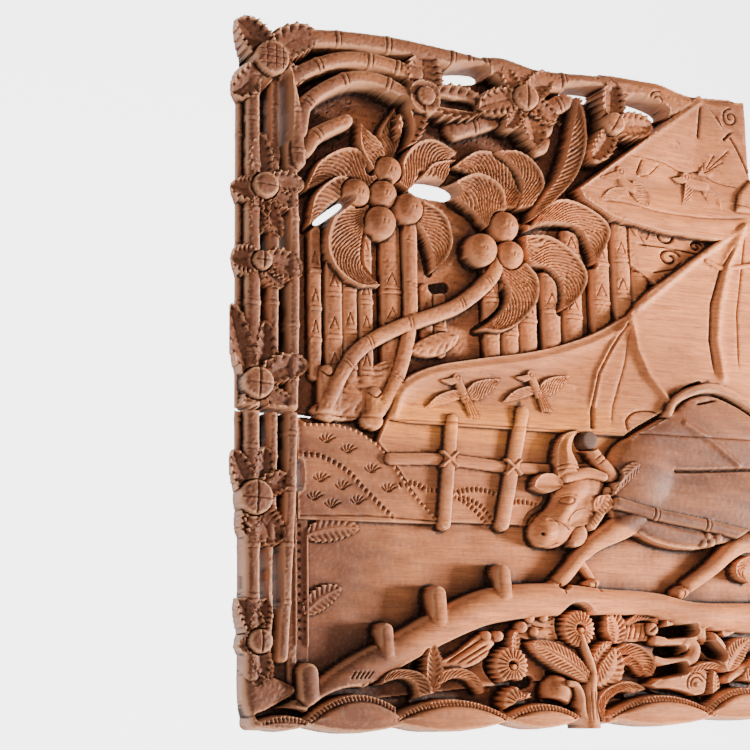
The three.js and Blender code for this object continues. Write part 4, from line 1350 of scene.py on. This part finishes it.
def board(name, node, low_v, high_v):
    """One plank as a closed mesh that stands for its CAD node."""
    start = int(np.searchsorted(VS, low_v))
    stop = int(np.searchsorted(VS, high_v)) + 1
    piece = block_mesh(name, slice(max(0, start - 1), min(len(VS), stop)), low_v, high_v)
    cutter = front_space()
    apply_modifier(piece, "BOOLEAN", operation="INTERSECT", solver="MANIFOLD", object=cutter)
    bpy.data.objects.remove(cutter)
    keep_main_body(piece)
    count = sum(len(p.vertices) - 2 for p in piece.data.polygons)
    if count > BOARD_TRIANGLES:
        apply_modifier(piece, "TRIANGULATE")
        apply_modifier(piece, "DECIMATE", ratio=BOARD_TRIANGLES / count)
    piece.data.polygons.foreach_set("use_smooth", [True] * len(piece.data.polygons))
    piece.data.set_sharp_from_angle(angle=SHARP_ANGLE)
    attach(piece, "root")
    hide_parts(node)
    return piece


def tone_map():
    """How clear the teak is, from 0 in the dark aged borders to 1 on the pale tents."""
    tone = np.full(U.shape, 0.38)
    tone -= 0.30 * (1 - fade(U, 70, 230)) * (1 - fade(V, 170, 260))
    tone += 0.34 * fade(U, 90, 290) * (1 - fade(V, 420, 560))
    tone += 0.30 * fade(U, 300, 420) * fade(V, 260, 340) * (1 - fade(V, 560, 600))
    tone += 0.20 * np.exp(-((V - 100) / 22) ** 2) * fade(U, 180, 280)
    tone -= 0.42 * (1 - fade(U, 50, 75))
    tone -= 0.22 * fade(V, 480, 580) * (1 - fade(U, 300, 420))
    tone -= 0.08 * (1 - fade(V, 10, 80))
    spot, d = area(spline(BODY + BODY[:1], 4), 6)
    tone[spot] -= 0.62 * (1 - fade(d, -3, 3))
    tone += 0.12 * noise(0.4 * U, V, 60, 31) + 0.07 * noise(0.5 * U, V, 16, 33)
    return np.clip(tone, 0, 1)


def bleach_map():
    """The orange, bleached wood along the glue line."""
    near = np.exp(-((V - SEAM - 2) / 18) ** 2)
    along = fade(U, 110, 160) * (1 - fade(U, 340, 400))
    return np.clip(1.3 * near * along * (1 + 0.4 * noise(0.5 * U, V, 22, 32)), 0, 1)


def paint_relief(piece):
    """Stores how deep and how worn each point of the carving is, for the material."""
    points = np.empty(3 * len(piece.data.vertices))
    piece.data.vertices.foreach_get("co", points)
    points = points.reshape(-1, 3) / MM + [LENGTH / 2, 0, HEIGHT / 2]
    cols = np.clip(np.round((points[:, 0] - U_MIN) / CELL).astype(int), 0, len(US) - 1)
    rows = np.clip(np.round((points[:, 2] - V_MIN) / CELL).astype(int), 0, len(VS) - 1)
    height = np.maximum(0, -points[:, 1])
    bevel = END_BEVEL[1] * (1 - (points[:, 0] - U_MIN + 1.2) / END_BEVEL[0])
    carved = (height > BACK_SKIN) & (np.abs(height - bevel) > 2 * BACK_SKIN)
    layers = {
        # recess drives painted shade: the further a point lies below the wide blur of the surface around
        # it, the darker it is painted
        "recess": carved * (WIDE_BLUR[rows, cols] - height) / 12,
        # crevice drives painted shade in the fine crevices, darker the further a point lies below the near
        # blur
        "crevice": carved * (NEAR_BLUR[rows, cols] - height) / 2.5,
        "wear": carved * (height - NEAR_BLUR[rows, cols]) / 2.2,
        "tone": np.where(carved, TONE[rows, cols], 0.14),
        "bleach": carved * BLEACH[rows, cols],
    }
    for label, values in layers.items():
        layer = piece.data.attributes.new(label, "FLOAT", "POINT")
        layer.data.foreach_set("value", np.clip(values, 0, 1).astype(np.float32))


# ---- material ------------------------------------------------------------------------
TEAK = {
    "aged": (0.096, 0.037, 0.021),
    "clear": (0.75, 0.245, 0.080),
    "bleached": (0.92, 0.30, 0.055),
    "grain": (0.13, 0.038, 0.016),
    # hollow is painted shade for the recesses and the floors of the deep blind holes
    "hollow": (0.045, 0.016, 0.009),
    # painted shade, near black, for the fine crevices
    "crevice_shade": (0.014, 0.006, 0.004),
    "worn": (0.74, 0.36, 0.19),
    "dust": (0.42, 0.27, 0.19),
}
PLUG_SHADE = (0.0432, 0.01665, 0.00945)
DARK_PLUG = dict.fromkeys(TEAK, PLUG_SHADE) | {"aged": (0.13, 0.075, 0.055)}


def make_node(tree, kind, settings=None, **inputs):
    """A shader node with its settings and unlinked inputs set, linked where a socket is given."""
    node = tree.nodes.new(kind)
    for key, value in (settings or {}).items():
        setattr(node, key, value)
    for key, value in inputs.items():
        socket = node.inputs[key.replace("_", " ")]
        if isinstance(value, bpy.types.NodeSocket):
            tree.links.new(value, socket)
        else:
            socket.default_value = value
    return node


def mixed(tree, factor, first, second):
    node = tree.nodes.new("ShaderNodeMix")
    node.data_type = "RGBA"
    for socket, value in ((node.inputs[0], factor), (node.inputs[6], first), (node.inputs[7], second)):
        if isinstance(value, bpy.types.NodeSocket):
            tree.links.new(value, socket)
        else:
            socket.default_value = value
    return node.outputs[2]


def ranged(tree, value, low, high, to_low, to_high):
    """The value carried from one range to another and held inside it."""
    limits = {"From_Min": low, "From_Max": high, "To_Min": to_low, "To_Max": to_high}
    return make_node(tree, "ShaderNodeMapRange", Value=value, **limits).outputs["Result"]


def attribute(tree, label):
    return make_node(tree, "ShaderNodeAttribute", {"attribute_name": label}).outputs["Fac"]


def noise_texture(tree, vector, scale, detail, roughness=0.5, distortion=0.0):
    return make_node(tree, "ShaderNodeTexNoise", Vector=vector, Scale=scale, Detail=detail,
                     Roughness=roughness, Distortion=distortion).outputs["Fac"]


def wood(name, tones):
    """Oiled teak: long grain, cloudy patches, painted shade in the hollows and crevices, dust and rubbed
    edges.
    """
    material = bpy.data.materials.new(name)
    material.use_nodes = True
    tree = material.node_tree
    shader = tree.nodes["Principled BSDF"]
    place = make_node(tree, "ShaderNodeTexCoord").outputs["Object"]
    along = make_node(tree, "ShaderNodeMapping", Vector=place, Scale=(9, 60, 150)).outputs["Vector"]
    grain = noise_texture(tree, along, 2.4, 7.0, 0.66, 0.6)
    cloud = noise_texture(tree, place, 9.0, 4.0)
    fine = make_node(tree, "ShaderNodeMapping", Vector=place, Scale=(22, 240, 520)).outputs["Vector"]
    pores = noise_texture(tree, fine, 2.6, 2.0)
    speckle = noise_texture(tree, place, 300.0, 4.0, 0.6)

    colour = mixed(tree, attribute(tree, "tone"), (*tones["aged"], 1), (*tones["clear"], 1))
    for factor, tone in (
        (attribute(tree, "bleach"), "bleached"),
        (ranged(tree, grain, 0.36, 0.66, 0.5, 0.0), "grain"),
        (ranged(tree, cloud, 0.40, 0.66, 0.0, 0.42), "grain"),
        (ranged(tree, pores, 0.56, 0.68, 0.0, 0.55), "grain"),
        # painted shade in the recesses
        (ranged(tree, attribute(tree, "recess"), 0.05, 0.75, 0.0, 0.88), "hollow"),
        # painted shade in the fine crevices
        (ranged(tree, attribute(tree, "crevice"), 0.05, 0.5, 0.0, 0.92), "crevice_shade"),
        (ranged(tree, attribute(tree, "wear"), 0.1, 0.8, 0.0, 0.36), "worn"),
        (ranged(tree, speckle, 0.5, 0.75, 0.0, 0.14), "dust"),
    ):
        colour = mixed(tree, factor, colour, (*tones[tone], 1))
    tree.links.new(colour, shader.inputs["Base Color"])
    tree.links.new(ranged(tree, cloud, 0.3, 0.7, 0.48, 0.66), shader.inputs["Roughness"])
    shader.inputs["Specular IOR Level"].default_value = 0.12
    coarse = make_node(tree, "ShaderNodeBump", Strength=0.3, Distance=0.0006, Height=grain)
    rough = make_node(tree, "ShaderNodeBump", Strength=0.25, Distance=0.0004, Height=speckle,
                      Normal=coarse.outputs["Normal"])
    tree.links.new(rough.outputs["Normal"], shader.inputs["Normal"])
    return material


def plug_piece():
    """The dark plug: a slightly domed end-grain disc with a worn rim."""
    base = -PLUG_BOX[1][1] / MM
    top = -PLUG_BOX[0][1] / MM
    bm = bmesh.new()
    rings = [(0, base), (PLUG_R, base), (PLUG_R, top - 1.6), (PLUG_R - 0.4, top - 0.7),
             (PLUG_R - 1.5, top - 0.25), (PLUG_R * 0.5, top - 0.1), (0, top - 0.05)]
    sides = 48
    loops = []
    for radius, height in rings:
        turns = [math.tau * k / sides for k in range(sides if radius else 1)]
        circle = [(radius * math.cos(turn), radius * math.sin(turn)) for turn in turns]
        loops.append([bm.verts.new((PLUG_U + u, -height, PLUG_V + v)) for u, v in circle])
    for inner, outer in zip(loops[:-1], loops[1:]):
        for k in range(sides):
            nxt = (k + 1) % sides
            ring = [loop[i % len(loop)] for loop, i in ((inner, k), (inner, nxt), (outer, nxt), (outer, k))]
            bm.faces.new(list(dict.fromkeys(ring)))
    bmesh.ops.translate(bm, vec=(-LENGTH / 2, 0, -HEIGHT / 2), verts=bm.verts)
    bmesh.ops.scale(bm, vec=(MM, MM, MM), verts=bm.verts)
    bmesh.ops.recalc_face_normals(bm, faces=bm.faces)
    mesh = bpy.data.meshes.new("plug_disc")
    bm.to_mesh(mesh)
    bm.free()
    mesh.polygons.foreach_set("use_smooth", [True] * len(mesh.polygons))
    mesh.set_sharp_from_angle(angle=SHARP_ANGLE)
    piece = add_object("plug_disc", mesh)
    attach(piece, "root")
    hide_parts("horn_plug")
    return piece


# ---- stage, light and camera ---------------------------------------------------------
def pale_sheet(name, corners, glow):
    """A matt pale sheet of the set, which may glow."""
    mesh = bpy.data.meshes.new(name)
    mesh.from_pydata(corners, [], [(0, 1, 2, 3)])
    piece = add_object(name, mesh)
    material = bpy.data.materials.new(name)
    material.use_nodes = True
    shader = material.node_tree.nodes["Principled BSDF"]
    shader.inputs["Base Color"].default_value = (0.92, 0.92, 0.92, 1)
    shader.inputs["Roughness"].default_value = 0.9
    shader.inputs["Emission Color"].default_value = (1, 1, 1, 1)
    shader.inputs["Emission Strength"].default_value = glow
    mesh.materials.append(material)


def stage():
    """A pale floor below the panel and a pale wall well behind it, clear of the views from the back."""
    side, back, low, high = 14.0, 3.2, -1.5, 12.0
    front, wall_glow = -side, 3.2
    floor = [(-side, front, low), (side, front, low), (side, back, low), (-side, back, low)]
    wall_corners = [(-side, back, low), (side, back, low), (side, back, high), (-side, back, high)]
    pale_sheet("pale_floor", floor, 0.0)
    pale_sheet("pale_wall", wall_corners, wall_glow)


def area_light(name, place, size, power, colour):
    """A square lamp that faces the middle of the panel."""
    light = bpy.data.lights.new(name, "AREA")
    light.shape = "SQUARE"
    light.size = size
    light.energy = power
    light.color = colour
    lamp = add_object(name, light)
    lamp.location = place
    lamp.rotation_euler = (-Vector(place)).to_track_quat("-Z", "Y").to_euler()


def lights():
    """A warm key low at the right, raking over the relief, a weak fill in front and an even sky."""
    area_light("key", (2.1, -1.05, -0.30), 0.45, 262, (1, 0.96, 0.91))
    area_light("fill", (-0.5, -2.6, 0.9), 1.6, 14, (1, 1, 1))
    world = bpy.data.worlds.new("studio")
    world.use_nodes = True
    world.node_tree.nodes["Background"].inputs["Color"].default_value = (1, 1, 1, 1)
    world.node_tree.nodes["Background"].inputs["Strength"].default_value = 0.35
    bpy.context.scene.world = world


def camera():
    """Below and to the left of the panel's middle, looking a little up and along it."""
    lens = bpy.data.cameras.new("camera")
    lens.sensor_width = 36
    lens.lens = FOCAL_LENGTH
    eye = add_object("camera", lens)
    aside = Matrix.Rotation(math.radians(-YAW), 3, "Z")
    upward = Matrix.Rotation(math.radians(90 + PITCH), 3, "X")
    tilted = Matrix.Rotation(math.radians(ROLL), 3, "Z")
    eye.location = ((VIEWER[0] - LENGTH / 2) * MM, VIEWER[1] * MM, (VIEWER[2] - HEIGHT / 2) * MM)
    eye.rotation_euler = (aside @ upward @ tilted).to_euler()
    bpy.context.scene.camera = eye


camera()
lights()
stage()
carve()
WIDE_BLUR = blur(np.maximum(H, 0), 11.0)
NEAR_BLUR = blur(np.maximum(H, 0), 1.7)
TONE = tone_map()
BLEACH = bleach_map()
upper_wood = wood("teak_upper", TEAK)
lower_wood = wood("teak_lower", TEAK)
plug_wood = wood("plug_wood", DARK_PLUG)
for piece_name, node_name, low_v, high_v, material, slot in (
    ("carved_upper_board", "upper_board", SEAM_HIGH, VS[-1], upper_wood, "teak_upper"),
    ("carved_lower_board", "lower_board", VS[0], SEAM_LOW, lower_wood, "teak_lower"),
):
    plank = board(piece_name, node_name, low_v, high_v)
    paint_relief(plank)
    plank.data.materials.clear()
    plank.data.materials.append(material)
plug = plug_piece()
plug.data.materials.append(plug_wood)
